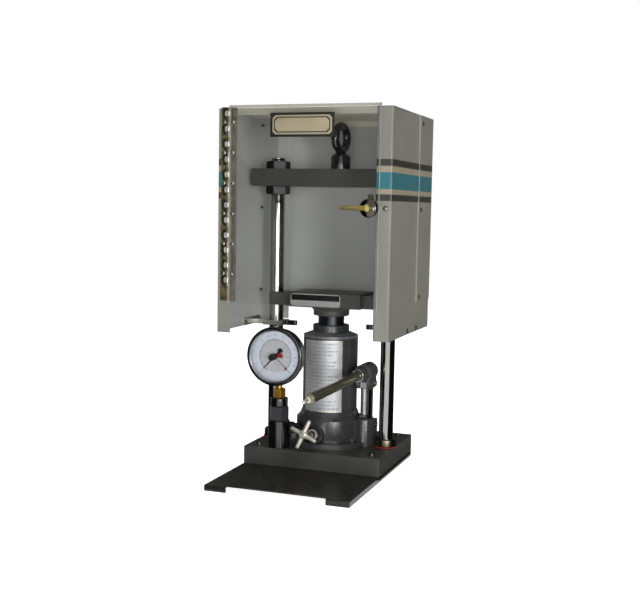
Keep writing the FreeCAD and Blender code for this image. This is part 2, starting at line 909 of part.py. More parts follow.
def make_jack_base():
    """The jack's casting: round foot, groove, flared top, pump boss, lugs, valve boss and gauge port."""
    outline = [
        (0, 0),
        (d.foot_radius, 0),
        (d.foot_radius, d.foot_height - d.foot_edge),
        (d.foot_radius - d.foot_edge, d.foot_height),
        (d.groove_radius, d.foot_height),
        (d.groove_radius, d.foot_height + d.groove_height),
        (d.jack_radius, d.foot_height + d.groove_height + 2),
        (d.jack_radius, d.jack_wall_top),
        ((d.jack_radius + d.jack_top_radius) / 2 - 2, (d.jack_wall_top + d.jack_top) / 2 - 1),
        (d.jack_top_radius + 1, d.jack_top - 3),
        (d.jack_top_radius, d.jack_top),
        (0, d.jack_top),
    ]
    casting = turned("casting", outline, (0, 0, base_top))
    boss = turned(
        "pump_boss",
        [
            (0, 0),
            (d.pump_boss_radius, 0),
            (d.pump_boss_radius, d.pump_boss_height - 4),
            (d.pump_boss_radius - 4, d.pump_boss_height),
            (0, d.pump_boss_height),
        ],
        (pump_x, pump_y, base_top),
    )
    small_boss = rod(
        "check_boss",
        d.pump_boss_radius * 0.45,
        (pump_x - d.pump_boss_radius, pump_y - d.pump_boss_radius * 0.75, base_top + d.foot_height),
        d.pump_boss_height - d.foot_height - 6,
    )
    web = box(
        "pump_web",
        (d.jack_radius / 2, pump_x),
        (pump_y - d.pump_boss_radius * 0.7, pump_y + d.pump_boss_radius * 0.7),
        (base_top, pump_boss_top - 6),
    )
    lug_back = fulcrum_y + d.lug_depth / 2
    lug = box(
        "fulcrum_lug",
        (pump_x - d.lug_width / 2, pump_x + d.lug_width / 2),
        (pump_y, lug_back),
        (base_top, lug_top),
    )
    valve_boss = rod(
        "valve_boss",
        d.valve_boss_diameter / 2,
        on_valve(-d.valve_boss_root),
        d.valve_boss_root,
        VALVE_ROTATION,
    )
    solid = fuse("casting_solid", [casting, boss, small_boss, web, lug, valve_boss])
    tube_recess = turned(
        "tube_recess",
        [
            (reservoir_bore - d.seat_clearance, 0),
            (reservoir_radius + d.seat_clearance, 0),
            (reservoir_radius + d.seat_clearance, d.tube_seat_depth + OVERCUT),
            (reservoir_bore - d.seat_clearance, d.tube_seat_depth + OVERCUT),
        ],
        (0, 0, tube_seat),
    )
    cylinder_recess = rod(
        "cylinder_recess",
        cylinder_radius + d.seat_clearance,
        (0, 0, cylinder_seat),
        d.cylinder_seat_depth + OVERCUT,
    )
    barrel_floor = base_top + d.pump_floor
    barrel = rod(
        "pump_barrel",
        plunger_radius + d.running_clearance,
        (pump_x, pump_y, barrel_floor),
        pump_boss_top - barrel_floor + OVERCUT,
    )
    oil_way = rod("oil_way", as_size(3), (0, pump_y, barrel_floor + 4), pump_x, ALONG_X)
    oil_rise = rod("oil_rise", as_size(3), (0, pump_y, barrel_floor + 4), cylinder_seat - barrel_floor)
    slot = box(
        "link_slot",
        (pump_x - d.cheek_slot / 2, pump_x + d.cheek_slot / 2),
        (fulcrum_y - d.link_half_height - 1.5, lug_back + OVERCUT),
        (base_top + d.foot_height + 6, pump_boss_top + OVERCUT),
    )
    pin_hole = rod(
        "foot_pin_hole",
        d.pivot_diameter / 2 + d.seat_clearance,
        (pump_x - d.lug_width / 2 - OVERCUT, fulcrum_y, foot_pin_z),
        d.lug_width + 2 * OVERCUT,
        ALONG_X,
    )
    valve_bore = rod(
        "valve_bore",
        d.stem_diameter / 2 + d.running_clearance,
        on_valve(-d.stem_depth - 2),
        d.stem_depth + 2 + OVERCUT,
        VALVE_ROTATION,
    )
    plug_hole = rod(
        "check_hole",
        as_size(5),
        (pump_x - d.pump_boss_radius, pump_y - d.pump_boss_radius * 0.75, pump_boss_top - 14),
        as_size(14),
    )
    tools = [tube_recess, cylinder_recess, barrel, oil_way, oil_rise, slot, pin_hole, valve_bore, plug_hole]
    return node("jack_base", cut("jack_base_body", solid, tools))


def make_jack_tubes():
    """The pressure cylinder, the oil reservoir round it and the cap and gland on top."""
    reservoir = turned(
        "reservoir",
        [
            (reservoir_bore, 0),
            (reservoir_radius, 0),
            (reservoir_radius, tube_top - tube_bottom),
            (reservoir_bore, tube_top - tube_bottom),
        ],
        (0, 0, tube_bottom),
    )
    filler_hole = rod(
        "filler_hole",
        d.filler_diameter / 2 + d.seat_clearance,
        (0, reservoir_bore - 4, base_top + d.filler_height),
        d.reservoir_wall + 8,
        ALONG_Y,
    )
    node("reservoir_tube", cut("reservoir_body", reservoir, [filler_hole]))
    cylinder_top = tube_top - d.cap_plug_height
    cylinder = turned(
        "cylinder",
        [
            (cylinder_bore, 0),
            (cylinder_radius, 0),
            (cylinder_radius, cylinder_top - cylinder_bottom),
            (cylinder_bore, cylinder_top - cylinder_bottom),
        ],
        (0, 0, cylinder_bottom),
    )
    node("pressure_cylinder", cylinder)
    spigot = reservoir_bore - d.seat_clearance
    gland_hole = d.gland_spigot_diameter / 2 + d.seat_clearance
    ram_hole = ram_radius + 1.5
    cap = turned(
        "cap",
        [
            (ram_hole, -d.cap_plug_height),
            (spigot, -d.cap_plug_height),
            (spigot, 0),
            (reservoir_radius, 0),
            (reservoir_radius, d.cap_band_height),
            (d.cap_cone_radius, d.cap_cone_height),
            (d.gland_diameter / 2 + 0.5, d.cap_height),
            (gland_hole, d.cap_height),
            (gland_hole, d.cap_height - d.gland_spigot_height - 0.2),
            (ram_hole, d.cap_height - d.gland_spigot_height - 0.2),
        ],
        (0, 0, tube_top),
    )
    node("jack_cap", cap)
    gland_bore = ram_radius + d.running_clearance
    seal_radius = gland_bore + d.gland_seal_width
    gland = turned(
        "gland",
        [
            (seal_radius, -d.gland_spigot_height),
            (d.gland_spigot_diameter / 2, -d.gland_spigot_height),
            (d.gland_spigot_diameter / 2, 0),
            (d.gland_diameter / 2, 0),
            (d.gland_diameter / 2, d.gland_height - 1.5),
            (d.gland_diameter / 2 - 1.5, d.gland_height),
            (gland_bore + 1.5, d.gland_height),
            (gland_bore, d.gland_height - 1.5),
            (gland_bore, d.gland_seal_height - d.gland_spigot_height),
            (seal_radius, d.gland_seal_height - d.gland_spigot_height),
        ],
        (0, 0, cap_top),
    )
    node("ram_gland", gland)


def plain_ring(name, inner, outer, height, at, rotation=None):
    """A flat ring of rectangular section."""
    return turned(name, [(inner, 0), (outer, 0), (outer, height), (inner, height)], at, rotation)


def make_hydraulic_seals():
    """The gaskets under the two tubes and the packing round the ram."""
    seat = (0, 0, tube_seat)
    tube_gasket = plain_ring("tube_gasket", reservoir_bore, reservoir_radius, d.seal_thickness, seat)
    cylinder_gasket = plain_ring(
        "cylinder_gasket", cylinder_bore + 2, cylinder_radius, d.seal_thickness, (0, 0, cylinder_seat)
    )
    packing_bore = ram_radius + d.running_clearance
    packing = plain_ring(
        "ram_packing",
        packing_bore,
        packing_bore + d.gland_seal_width - d.seat_clearance,
        d.gland_seal_height,
        (0, 0, cap_top - d.gland_spigot_height),
    )
    node("hydraulic_seals", group("seals_set", [tube_gasket, cylinder_gasket, packing]))


def make_filler_plug():
    """The oil filler plug at the back of the reservoir."""
    shank = d.filler_diameter / 2
    seat = reservoir_radius
    stem_start = reservoir_bore - d.filler_nose
    level = base_top + d.filler_height
    flange_start = seat + 1
    flange_end = flange_start + d.filler_flange
    stem = rod("filler_stem", shank, (0, stem_start, level), flange_end - stem_start, ALONG_Y)
    flange = rod("filler_flange", shank + 3, (0, flange_start, level), d.filler_flange, ALONG_Y)
    head = hexagon("filler_hex", d.filler_flats, (0, flange_end, level), d.filler_head, ALONG_Y)
    return node("filler_plug", fuse("filler_plug_body", [stem, flange, head]))


def make_pump_inside():
    """The gland nut over the pump barrel and the two check valves under it."""
    nut = chamfered_hexagon(
        "pump_nut",
        d.gland_nut_flats,
        d.gland_nut_height,
        (pump_x, pump_y, pump_boss_top),
        plunger_radius + d.running_clearance,
    )
    node("pump_gland_nut", nut)
    ball_radius = plunger_radius * 0.54
    seat = plain_ring(
        "valve_seat",
        as_size(3),
        plunger_radius - d.seat_clearance,
        as_size(3),
        (pump_x, pump_y, base_top + d.pump_floor),
    )
    ball = doc.addObject("Part::Sphere", unused("check_ball"))
    bind(ball, "Radius", ball_radius)
    # the ball rests on the rim of the seat's hole
    lift = Size(f"sqrt({ball_radius.text} ^ 2 - 3 ^ 2)", math.sqrt(ball_radius.value**2 - 3**2))
    place(ball, (pump_x, pump_y, base_top + d.pump_floor + 3 + lift))
    plug = rod(
        "check_plug",
        as_size(4.8),
        (pump_x - d.pump_boss_radius, pump_y - d.pump_boss_radius * 0.75, pump_boss_top - 14),
        as_size(11),
    )
    node("check_valves", group("check_valves_set", [seat, ball, plug]))


def make_release_valve():
    """The release valve: a hexagonal bonnet on the casting, a stem through it and a four-armed cross handle."""
    bore = d.stem_diameter / 2 + d.running_clearance
    mouth = on_valve(as_size(0))
    bonnet = chamfered_hexagon("bonnet", d.bonnet_flats, d.bonnet_length, mouth, bore, VALVE_ROTATION)
    node("release_bonnet", bonnet)
    stem_length = d.stem_depth + d.valve_reach
    radius = d.stem_diameter / 2
    stem = turned(
        "stem",
        [
            (0, 0),
            (radius * 0.3, 0),
            (radius, radius * 0.7),
            (radius, stem_length - 2),
            (radius - 2, stem_length),
            (0, stem_length),
        ],
        on_valve(-d.stem_depth),
        VALVE_ROTATION,
    )
    node("release_stem", stem)
    hub_radius = d.cross_hub_diameter / 2
    hub = turned(
        "cross_hub",
        [
            (0, 0),
            (hub_radius * 0.8, 0),
            (hub_radius, 2),
            (hub_radius, d.cross_hub_length - 3),
            (hub_radius * 0.6, d.cross_hub_length),
            (0, d.cross_hub_length),
        ],
        on_valve(d.valve_reach - d.cross_hub_length + 2),
        VALVE_ROTATION,
    )
    centre = on_valve(d.valve_reach - d.cross_hub_length / 2 + 2)
    arms = []
    for index in range(4):
        spin = FreeCAD.Rotation(VALVE_WAY, d.cross_start.value + 90 * index)
        way = spin.multVec(VALVE_ROTATION.multVec(VECTOR(1, 0, 0)))
        length = d.cross_radius - d.cross_arm_tip
        arm = cone("cross_arm", d.cross_arm_root, d.cross_arm_tip, centre, length, towards(*way))
        tip = doc.addObject("Part::Sphere", unused("cross_tip"))
        bind(tip, "Radius", d.cross_arm_tip)
        place(tip, tuple(value + length * share for value, share in zip(centre, way)))
        arms += [arm, tip]
    stem_hole = rod(
        "cross_bore",
        radius + d.seat_clearance,
        on_valve(as_size(0)),
        d.valve_reach,
        VALVE_ROTATION,
    )
    cross = fuse("cross_solid", [hub] + arms)
    node("release_handle", cut("release_handle_body", cross, [stem_hole]))


ram_bottom = cylinder_bottom + d.piston_gap
hub_bottom = gland_top + d.ram_exposed
ram_top = hub_bottom + d.ram_spigot
bolster_bottom = hub_bottom + d.hub_height
bolster_top = bolster_bottom + d.bolster_height


def make_ram():
    """The ram with its piston at the foot, and the seal in the piston's groove."""
    length = ram_top - ram_bottom
    piston = d.piston_diameter / 2
    groove = piston - d.ram_seal_depth
    low = (d.piston_height - d.ram_seal_height) / 2
    high = low + d.ram_seal_height
    outline = [
        (0, 0),
        (piston - 1.5, 0),
        (piston, 1.5),
        (piston, low),
        (groove, low),
        (groove, high),
        (piston, high),
        (piston, d.piston_height),
        (ram_radius, d.piston_height),
        (ram_radius, length - 1),
        (ram_radius - 1, length),
        (0, length),
    ]
    node("ram", turned("ram_body", outline, (0, 0, ram_bottom)))
    seal = plain_ring(
        "seal_ring",
        groove + d.seat_clearance,
        piston,
        d.ram_seal_height,
        (0, 0, ram_bottom + low),
    )
    node("ram_seal", seal)


def make_bolster():
    """The pressing table on the ram, with a forked arm round each column and a tapered hub below."""
    half = d.bolster_width / 2
    deep = d.bolster_depth / 2
    reach = column_side + d.arm_overhang
    arm = d.arm_depth / 2
    table = extruded(
        "table",
        [(-half, -deep), (half, -deep), (half, deep), (-half, deep)],
        d.bolster_height,
        (0, 0, bolster_bottom),
    )
    dress(table, "Fillet", d.bolster_edge, lambda edge: True)
    arms = extruded(
        "arms",
        [(-reach, -arm), (reach, -arm), (reach, arm), (-reach, arm)],
        d.arm_height,
        (0, 0, bolster_bottom),
    )
    dress(arms, "Fillet", d.arm_tip_round, lambda edge: runs_along(edge, UPWARDS))
    low = d.hub_bottom_diameter / 2
    high = d.hub_top_diameter / 2
    hub = turned(
        "hub",
        [
            (0, 0),
            (low - 1.5, 0),
            (low, 1.5),
            (low, d.hub_height * 0.55),
            (low + (high - low) * 0.2, d.hub_height * 0.72),
            (low + (high - low) * 0.55, d.hub_height * 0.88),
            (high, d.hub_height),
            (high, d.hub_height + 2),
            (0, d.hub_height + 2),
        ],
        (0, 0, hub_bottom),
    )
    notch = column_radius + d.notch_clearance
    socket_radius = ram_radius + d.seat_clearance
    tools = [rod("ram_socket", socket_radius, (0, 0, hub_bottom - OVERCUT), d.ram_spigot + OVERCUT)]
    for side, x in zip((-1, 1), column_sides):
        tools.append(rod("arm_notch", notch, (x, 0, bolster_bottom - OVERCUT), d.bolster_height))
        ends = (x, x + 2 * d.arm_overhang) if side > 0 else (x - 2 * d.arm_overhang, x)
        tools.append(box("arm_mouth", ends, both(notch), (bolster_bottom - OVERCUT, bolster_top)))
    return node("bolster", cut("bolster_body", fuse("bolster_solid", [table, arms, hub]), tools))


plunger_foot = pump_boss_top - d.plunger_tail
eye_bottom = pivot_z - d.plunger_eye_height / 2


def make_plunger():
    """The pump plunger with a flat eye at the top for the lever's pin."""
    reach = eye_bottom - plunger_foot + 2
    stem = rod("plunger_stem", plunger_radius, (pump_x, pump_y, plunger_foot), reach)
    half = d.plunger_eye_width / 2
    deep = plunger_radius
    flat = extruded(
        "plunger_eye",
        [(-half, -deep), (half, -deep), (half, deep), (-half, deep)],
        d.plunger_eye_height,
        (pump_x, pump_y, eye_bottom),
    )
    dress(flat, "Fillet", d.plunger_eye_height / 4, lambda edge: runs_along(edge, VECTOR(1, 0, 0)))
    pin = rod(
        "plunger_pin",
        d.pivot_diameter / 2,
        (pump_x - d.lever_width / 2 + 2, pump_y, pivot_z),
        d.lever_width - 4,
        ALONG_X,
    )
    return node("pump_plunger", fuse("pump_plunger_body", [stem, flat, pin]))


def make_links():
    """The fulcrum link that stands in the casting's lugs and carries the lever's pivot, and its foot pin."""
    half = d.link_width / 2 - d.link_side_gap / 2
    tall = d.link_half_height
    link_top = pivot_z - foot_pin_z + tall
    bar = extruded(
        "link_bar",
        [(-tall, -tall), (tall, -tall), (tall, link_top), (-tall, link_top)],
        half * 2,
        (pump_x - half, fulcrum_y, foot_pin_z),
        "x",
    )
    dress(bar, "Fillet", d.link_half_height * 0.96, lambda edge: runs_along(edge, VECTOR(1, 0, 0)))
    waist = d.link_half_height * 0.3
    scallops = [
        box(
            "link_scallop",
            (pump_x - half - OVERCUT, pump_x + half + OVERCUT),
            (y, y + 2 * waist),
            (foot_pin_z + 2 * tall, pivot_z - 2 * tall),
        )
        for y in (fulcrum_y - tall - waist, fulcrum_y + tall - waist)
    ]
    holes = [
        rod(
            "link_hole",
            d.pivot_diameter / 2 + clearance,
            (pump_x - half - OVERCUT, fulcrum_y, z),
            2 * half + 2 * OVERCUT,
            ALONG_X,
        )
        for z, clearance in ((foot_pin_z, d.seat_clearance), (pivot_z, d.running_clearance))
    ]
    node("fulcrum_link", cut("fulcrum_link_body", bar, scallops + holes))
    pin = rod(
        "foot_pin",
        d.pivot_diameter / 2,
        (pump_x - d.lug_width / 2, fulcrum_y, foot_pin_z),
        d.lug_width,
        ALONG_X,
    )
    head = rod(
        "foot_pin_head",
        d.pivot_diameter / 2 + 2,
        (pump_x + d.lug_width / 2, fulcrum_y, foot_pin_z),
        as_size(3),
        ALONG_X,
    )
    node("link_foot_pin", fuse("link_foot_pin_body", [pin, head]))


socket_z = pivot_z + d.socket_rise
lever_back_y = fulcrum_y + d.lever_back
sleeve_mouth = pump_y - d.sleeve_reach


def make_lever():
    """The forged lever head: two cheeks over plunger and link, a handle socket above and its bright sleeve."""
    half = d.lever_width / 2
    front = pump_y - d.lever_front
    cheeks = extruded(
        "lever_cheeks",
        [
            (front, socket_z - pivot_z),
            (front, 0),
            (pump_y - d.lever_foot, -d.lever_foot),
            (fulcrum_y + d.lever_foot, -d.lever_foot),
            (fulcrum_y + d.lever_foot, d.lever_foot),
            (lever_back_y, socket_z - pivot_z),
        ],
        2 * half,
        (pump_x - half, 0, pivot_z),
        "x",
    )
    dress(cheeks, "Fillet", d.lever_foot * 0.5, lambda edge: runs_along(edge, VECTOR(1, 0, 0)))
    barrel = rod("lever_barrel", d.socket_radius, (pump_x, front, socket_z), lever_back_y - front, ALONG_Y)
    neck_mouth = sleeve_mouth + d.sleeve_length
    neck_end = (pump_x, neck_mouth, socket_z)
    neck = rod("lever_neck", d.socket_neck_radius, neck_end, front - neck_mouth + 1, ALONG_Y)
    head = fuse("lever_solid", [cheeks, barrel, neck])
    slot = box(
        "cheek_slot",
        (pump_x - d.cheek_slot / 2, pump_x + d.cheek_slot / 2),
        (front - OVERCUT, fulcrum_y + d.lever_foot + OVERCUT),
        (pivot_z - d.lever_foot - OVERCUT, pivot_z + d.plunger_eye_height / 2 + 3),
    )
    hole_start = pump_x - half - OVERCUT
    hole_length = d.lever_width + 2 * OVERCUT
    pivot_radius = d.pivot_diameter / 2
    fulcrum_hole = rod(
        "fulcrum_hole",
        pivot_radius + d.seat_clearance,
        (hole_start, fulcrum_y, pivot_z),
        hole_length,
        ALONG_X,
    )
    slack = d.pivot_slack
    run = 4.5
    pin_slot = extruded(
        "pin_slot",
        [
            (-pivot_radius - run, -pivot_radius - slack),
            (pivot_radius + slack, -pivot_radius - slack),
            (pivot_radius + slack, pivot_radius + slack),
            (-pivot_radius - run, pivot_radius + slack),
        ],
        hole_length,
        (hole_start, pump_y, pivot_z),
        "x",
    )
    handle_bore = rod(
        "handle_bore",
        d.handle_diameter / 2 + d.handle_clearance,
        (pump_x, neck_mouth - OVERCUT, socket_z),
        lever_back_y - d.socket_back_wall - neck_mouth + OVERCUT,
        ALONG_Y,
    )
    node("lever_socket", cut("lever_socket_body", head, [slot, fulcrum_hole, pin_slot, handle_bore]))
    pin = rod("fulcrum_pin", pivot_radius, (pump_x - half, fulcrum_y, pivot_z), d.lever_width, ALONG_X)
    heads = [
        rod("fulcrum_pin_head", pivot_radius + 2, (x, fulcrum_y, pivot_z), as_size(2.5), ALONG_X)
        for x in (pump_x - half - 2.5, pump_x + half)
    ]
    node("lever_pin", fuse("lever_pin_body", [pin] + heads))
    sleeve_radius = d.sleeve_diameter / 2
    handle_hole = d.handle_diameter / 2 + d.handle_clearance
    sleeve = turned(
        "sleeve",
        [
            (handle_hole, 0),
            (sleeve_radius, 0),
            (sleeve_radius, d.sleeve_length - 1.5),
            (sleeve_radius - 1.5, d.sleeve_length),
            (handle_hole + 1, d.sleeve_length),
            (handle_hole, d.sleeve_length - 1),
        ],
        (pump_x, neck_mouth, socket_z),
        FACING_FRONT,
    )
    node("socket_sleeve", sleeve)
    inner_end = lever_back_y - d.socket_back_wall
    radius = d.handle_diameter / 2
    cap = d.handle_cap_diameter / 2
    tip = d.handle_tip_diameter / 2
    length = d.handle_reach + inner_end
    cap_end = length + d.handle_cap_length
    tip_end = cap_end + d.handle_tip_length
    outline = [
        (0, 0),
        (radius - 1, 0),
        (radius, 1),
        (radius, length - 1),
        (radius - 1, length),
        (cap, length),
        (cap, cap_end - 1),
        (cap - 1, cap_end),
        (tip, cap_end),
        (tip, tip_end - 1),
        (tip - 1, tip_end),
        (0, tip_end),
    ]
    node("pump_handle", turned("handle", outline, (pump_x, inner_end, socket_z), FACING_FRONT))


gauge_x = -d.gauge_side
gauge_y = -d.gauge_front
block_top = base_top + d.gauge_block_height
snubber_top = block_top + d.snubber_height
coupling_top = snubber_top + d.coupling_height
adapter_top = coupling_top + d.adapter_height
gauge_z = base_top + d.gauge_rise
bezel_y = gauge_y - d.bezel_face
bezel_back = bezel_y + d.bezel_depth
glass_y = bezel_y + d.glass_depth
dial_y = bezel_y + d.dial_depth


def make_gauge_stack():
    """The round block on the base, the hexagonal snubber, the coupling and the brass adapter."""
    radius = d.gauge_block_diameter / 2
    height = d.gauge_block_height
    outline = [(0, 0), (radius, 0), (radius, height - 2), (radius - 2, height), (0, height)]
    node("gauge_block", turned("gauge_block_body", outline, (gauge_x, gauge_y, base_top)))
    snubber = chamfered_hexagon("snubber", d.snubber_flats, d.snubber_height, (gauge_x, gauge_y, block_top))
    node("gauge_snubber", snubber)
    ring_radius = d.coupling_diameter / 2
    tall = d.coupling_height
    outline = [
        (0, 0),
        (ring_radius - 1.5, 0),
        (ring_radius, 1.5),
        (ring_radius, tall - 1.5),
        (ring_radius - 1.5, tall),
        (0, tall),
    ]
    node("gauge_coupling", turned("coupling", outline, (gauge_x, gauge_y, snubber_top)))
    seat = (gauge_x, gauge_y, coupling_top)
    adapter = chamfered_hexagon("adapter_hex", d.adapter_flats, d.adapter_height, seat)
    neck_length = gauge_z - d.case_radius - adapter_top
    neck = rod(
        "adapter_neck",
        d.adapter_neck_diameter / 2,
        (gauge_x, gauge_y, adapter_top - 1),
        neck_length + d.case_radius - d.socket_drop + 1,
    )
    node("gauge_adapter", fuse("gauge_adapter_body", [adapter, neck]))


PLUG_WAY = (0.62, -0.78, 0.0)


def make_gauge_pipe():
    """The high-pressure pipe from the jack's casting to the gauge block, with a plug on its side."""
    level = base_top + d.pipe_level
    distance = Size(
        f"sqrt({gauge_x.text} ^ 2 + {gauge_y.text} ^ 2)",
        math.hypot(gauge_x.value, gauge_y.value),
    )
    share_x = gauge_x / distance
    share_y = gauge_y / distance
    rotation = towards(gauge_x.value, gauge_y.value, 0)
    start = d.jack_radius - 8
    pipe = rod("pipe", d.pipe_radius, (share_x * start, share_y * start, level), distance - start, rotation)
    collar_at = distance - d.gauge_block_diameter / 2 - d.pipe_collar_length
    collar = rod(
        "pipe_collar",
        d.pipe_collar_radius,
        (share_x * collar_at, share_y * collar_at, level),
        d.pipe_collar_length + d.gauge_block_diameter / 4,
        rotation,
    )
    plug_at = collar_at + d.pipe_plug_radius
    plug = rod(
        "pipe_plug",
        d.pipe_plug_radius,
        (share_x * plug_at, share_y * plug_at, level - d.pipe_plug_drop),
        d.pipe_plug_reach,
        towards(*PLUG_WAY),
    )
    whole = fuse("pipe_solid", [pipe, collar, plug])
    block_hole = rod(
        "pipe_block_clear",
        d.gauge_block_diameter / 2,
        (gauge_x, gauge_y, base_top - OVERCUT),
        d.gauge_block_height + 2 * OVERCUT,
    )
    casting_hole = rod(
        "pipe_casting_clear",
        d.jack_radius,
        (0, 0, base_top - OVERCUT),
        d.jack_top,
    )
    return node("gauge_pipe", cut("gauge_pipe_body", whole, [block_hole, casting_hole]))


def make_gauge_case():
    """The gauge's case, bezel, glass, dial and the curved tube inside that drives the pointer."""
    wall = d.case_wall
    case_back = gauge_y - d.case_back_gap
    case_length = case_back - bezel_back
    rim = d.bezel_radius - 0.5
    case = turned(
        "case",
        [
            (0, 0),
            (d.case_radius - 4, 0),
            (d.case_radius, 4),
            (d.case_radius, case_length - d.case_rim),
            (rim, case_length - d.case_rim),
            (rim, case_length),
            (d.case_radius - wall, case_length),
            (d.case_radius - wall, 5),
            (d.case_radius - 5, wall),
            (0, wall),
        ],
        (gauge_x, case_back, gauge_z),
        FACING_FRONT,
    )
    neck_hole = rod(
        "case_neck_hole",
        d.adapter_neck_diameter / 2 + d.seat_clearance,
        (gauge_x, gauge_y, gauge_z - d.case_radius - 5),
        d.case_radius,
    )
    node("gauge_case", cut("gauge_case_body", case, [neck_hole]))
    depth = d.bezel_depth
    seat = depth - d.glass_depth
    bezel = turned(
        "bezel",
        [
            (d.bezel_lip, depth),
            (d.bezel_lip, seat),
            (d.bezel_bore, seat),
            (d.bezel_bore, 0),
            (d.bezel_radius, 0),
            (d.bezel_radius, depth - 3),
            (d.bezel_radius - 1.5, depth - 0.8),
            (d.bezel_radius - 4, depth),
        ],
        (gauge_x, bezel_back, gauge_z),
        FACING_FRONT,
    )
    node("gauge_bezel", bezel)
    glass_radius = d.bezel_bore - d.seat_clearance
    hole = d.knob_radius * 0.35
    glass = plain_ring(
        "glass",
        hole + d.running_clearance,
        glass_radius,
        d.glass_thickness,
        (gauge_x, glass_y + d.glass_thickness, gauge_z),
        FACING_FRONT,
    )
    node("gauge_glass", glass)
    dial = plain_ring(
        "dial",
        as_size(2.4),
        d.dial_radius,
        d.dial_thickness,
        (gauge_x, dial_y + d.dial_thickness, gauge_z),
        FACING_FRONT,
    )
    node("gauge_dial", dial)


POINTER_ANGLE = -135.0
SET_HAND_ANGLE = 135.0


def hand(name, length, tail, root, thickness, y, angle):
    """A tapered hand that points up and is then turned about the dial's centre, clockwise as seen."""
    blade = extruded(
        name,
        [
            (-root, -tail),
            (root, -tail),
            (root * 0.8, 0),
            (root * 0.25, length),
            (-root * 0.25, length),
            (-root * 0.8, 0),
        ],
        thickness,
        (gauge_x, y + thickness, gauge_z),
        "y",
        FreeCAD.Rotation(VECTOR(0, 1, 0), angle),
    )
    return blade


def make_gauge_hands():
    """The gauge's black pointer on its arbor, and the red set hand on a knob through the glass."""
    thickness = d.pointer_thickness
    pointer_y = dial_y - d.pointer_gap - thickness
    blade = hand(
        "pointer_blade",
        d.pointer_length,
        d.pointer_tail,
        d.pointer_width,
        thickness,
        pointer_y,
        POINTER_ANGLE,
    )
    hub_length = d.pointer_gap + thickness - 0.2
    hub = rod("pointer_hub", as_size(4), (gauge_x, dial_y - 0.3, gauge_z), hub_length, FACING_FRONT)
    arbor_back = gauge_y - d.case_back_gap - 12
    arbor_seat = (gauge_x, arbor_back, gauge_z)
    arbor = rod("pointer_arbor", d.arbor_diameter / 2, arbor_seat, arbor_back - pointer_y, FACING_FRONT)
    node("gauge_pointer", fuse("gauge_pointer_body", [blade, hub, arbor]))
    set_y = glass_y + d.glass_thickness + 0.6
    set_blade = hand(
        "set_blade",
        d.set_hand_length,
        d.set_hand_tail,
        d.set_hand_width,
        thickness,
        set_y,
        SET_HAND_ANGLE,
    )
    stem_radius = d.knob_radius * 0.35
    stem = rod(
        "set_stem",
        stem_radius,
        (gauge_x, set_y + thickness, gauge_z),
        set_y + thickness - glass_y + 2,
        FACING_FRONT,
    )
    knob = turned(
        "set_knob",
        [
            (0, 0),
            (d.knob_radius, 0),
            (d.knob_radius, d.knob_height - 2),
            (d.knob_radius - 2, d.knob_height),
            (0, d.knob_height),
        ],
        (gauge_x, glass_y - 0.4, gauge_z),
        FACING_FRONT,
    )
    node("gauge_set_hand", fuse("gauge_set_hand_body", [set_blade, stem, knob]))


def make_bourdon_tube():
    """The bent tube and its socket block inside the gauge, seated on the adapter's neck."""
    back = gauge_y - d.case_back_gap - d.case_wall
    half = d.socket_width / 2
    tube_radius = d.case_radius * d.bourdon_share
    neck_top = gauge_z - d.socket_drop
    socket = box(
        "gauge_socket",
        (gauge_x - half, gauge_x + half),
        (back - d.socket_depth, back),
        (neck_top, gauge_z - tube_radius + d.socket_depth),
    )
    middle = back - d.socket_depth / 2
    loop = ring("bourdon_ring", tube_radius, d.bourdon_tube_radius, (gauge_x, middle, gauge_z), FACING_FRONT)
    keep = box(
        "bourdon_gap",
        (gauge_x, gauge_x + d.case_radius),
        (back - d.socket_depth, back),
        (gauge_z - d.case_radius, gauge_z),
    )
    bent = cut("bourdon_arc", loop, [keep])
    return node("gauge_bourdon_tube", fuse("bourdon_body", [bent, socket]))


FOLD_SLACK = 0.01
guard_half = d.guard_width / 2
guard_inner = guard_half - d.guard_gauge
guard_screw_way = d.guard_screw_radius + d.seat_clearance


def folds_at(edge, side, front, rear):
    """Whether an upright edge lies at a fold of the guard, on either side."""
    middle = edge.CenterOfMass
    along_fold = runs_along(edge, UPWARDS) and abs(abs(middle.x) - side.value) < FOLD_SLACK
    return along_fold and min(abs(middle.y - front.value), abs(middle.y - rear.value)) < FOLD_SLACK


def make_guard_panels():
    """The two side panels, each folded with a flange in front, a return at the back and a lip at the top."""
    inner_front = -d.guard_front + d.guard_gauge
    inner_rear = d.guard_rear - d.guard_gauge
    sides = ((-1, "guard_panel_left", d.guard_flange_left), (1, "guard_panel_right", d.guard_flange_right))
    for side, name, flange_width in sides:
        flange = guard_half - flange_width
        rear = guard_half - d.guard_return
        outline = [
            (side * guard_half, -d.guard_front),
            (side * guard_half, d.guard_rear),
            (side * rear, d.guard_rear),
            (side * rear, inner_rear),
            (side * guard_inner, inner_rear),
            (side * guard_inner, inner_front),
            (side * flange, inner_front),
            (side * flange, -d.guard_front),
        ]
        panel = extruded(name + "_fold", outline, d.guard_top_level - d.guard_bottom, (0, 0, d.guard_bottom))
        outer_front = -d.guard_front
        dress(panel, "Fillet", d.guard_bend, lambda edge: folds_at(edge, guard_half, outer_front, d.guard_rear))
        inner_bend = d.guard_bend - d.guard_gauge
        dress(panel, "Fillet", inner_bend, lambda edge: folds_at(edge, guard_inner, inner_front, inner_rear))
        holes = [
            rod(
                "panel_hole",
                guard_screw_way,
                (side * guard_half - HOLE_REACH, y, z),
                as_size(2 * HOLE_REACH),
                ALONG_X,
            )
            for y, z in guard_screw_places()
        ]
        holes += [strike_hole()] if side > 0 else hinge_flange_holes()
        node(name, cut(name + "_body", panel, holes))


def guard_screw_places():
    """Where each side panel takes its screws: through the rear cover, and into the straps."""
    return cover_screw_places() + strap_screw_places()


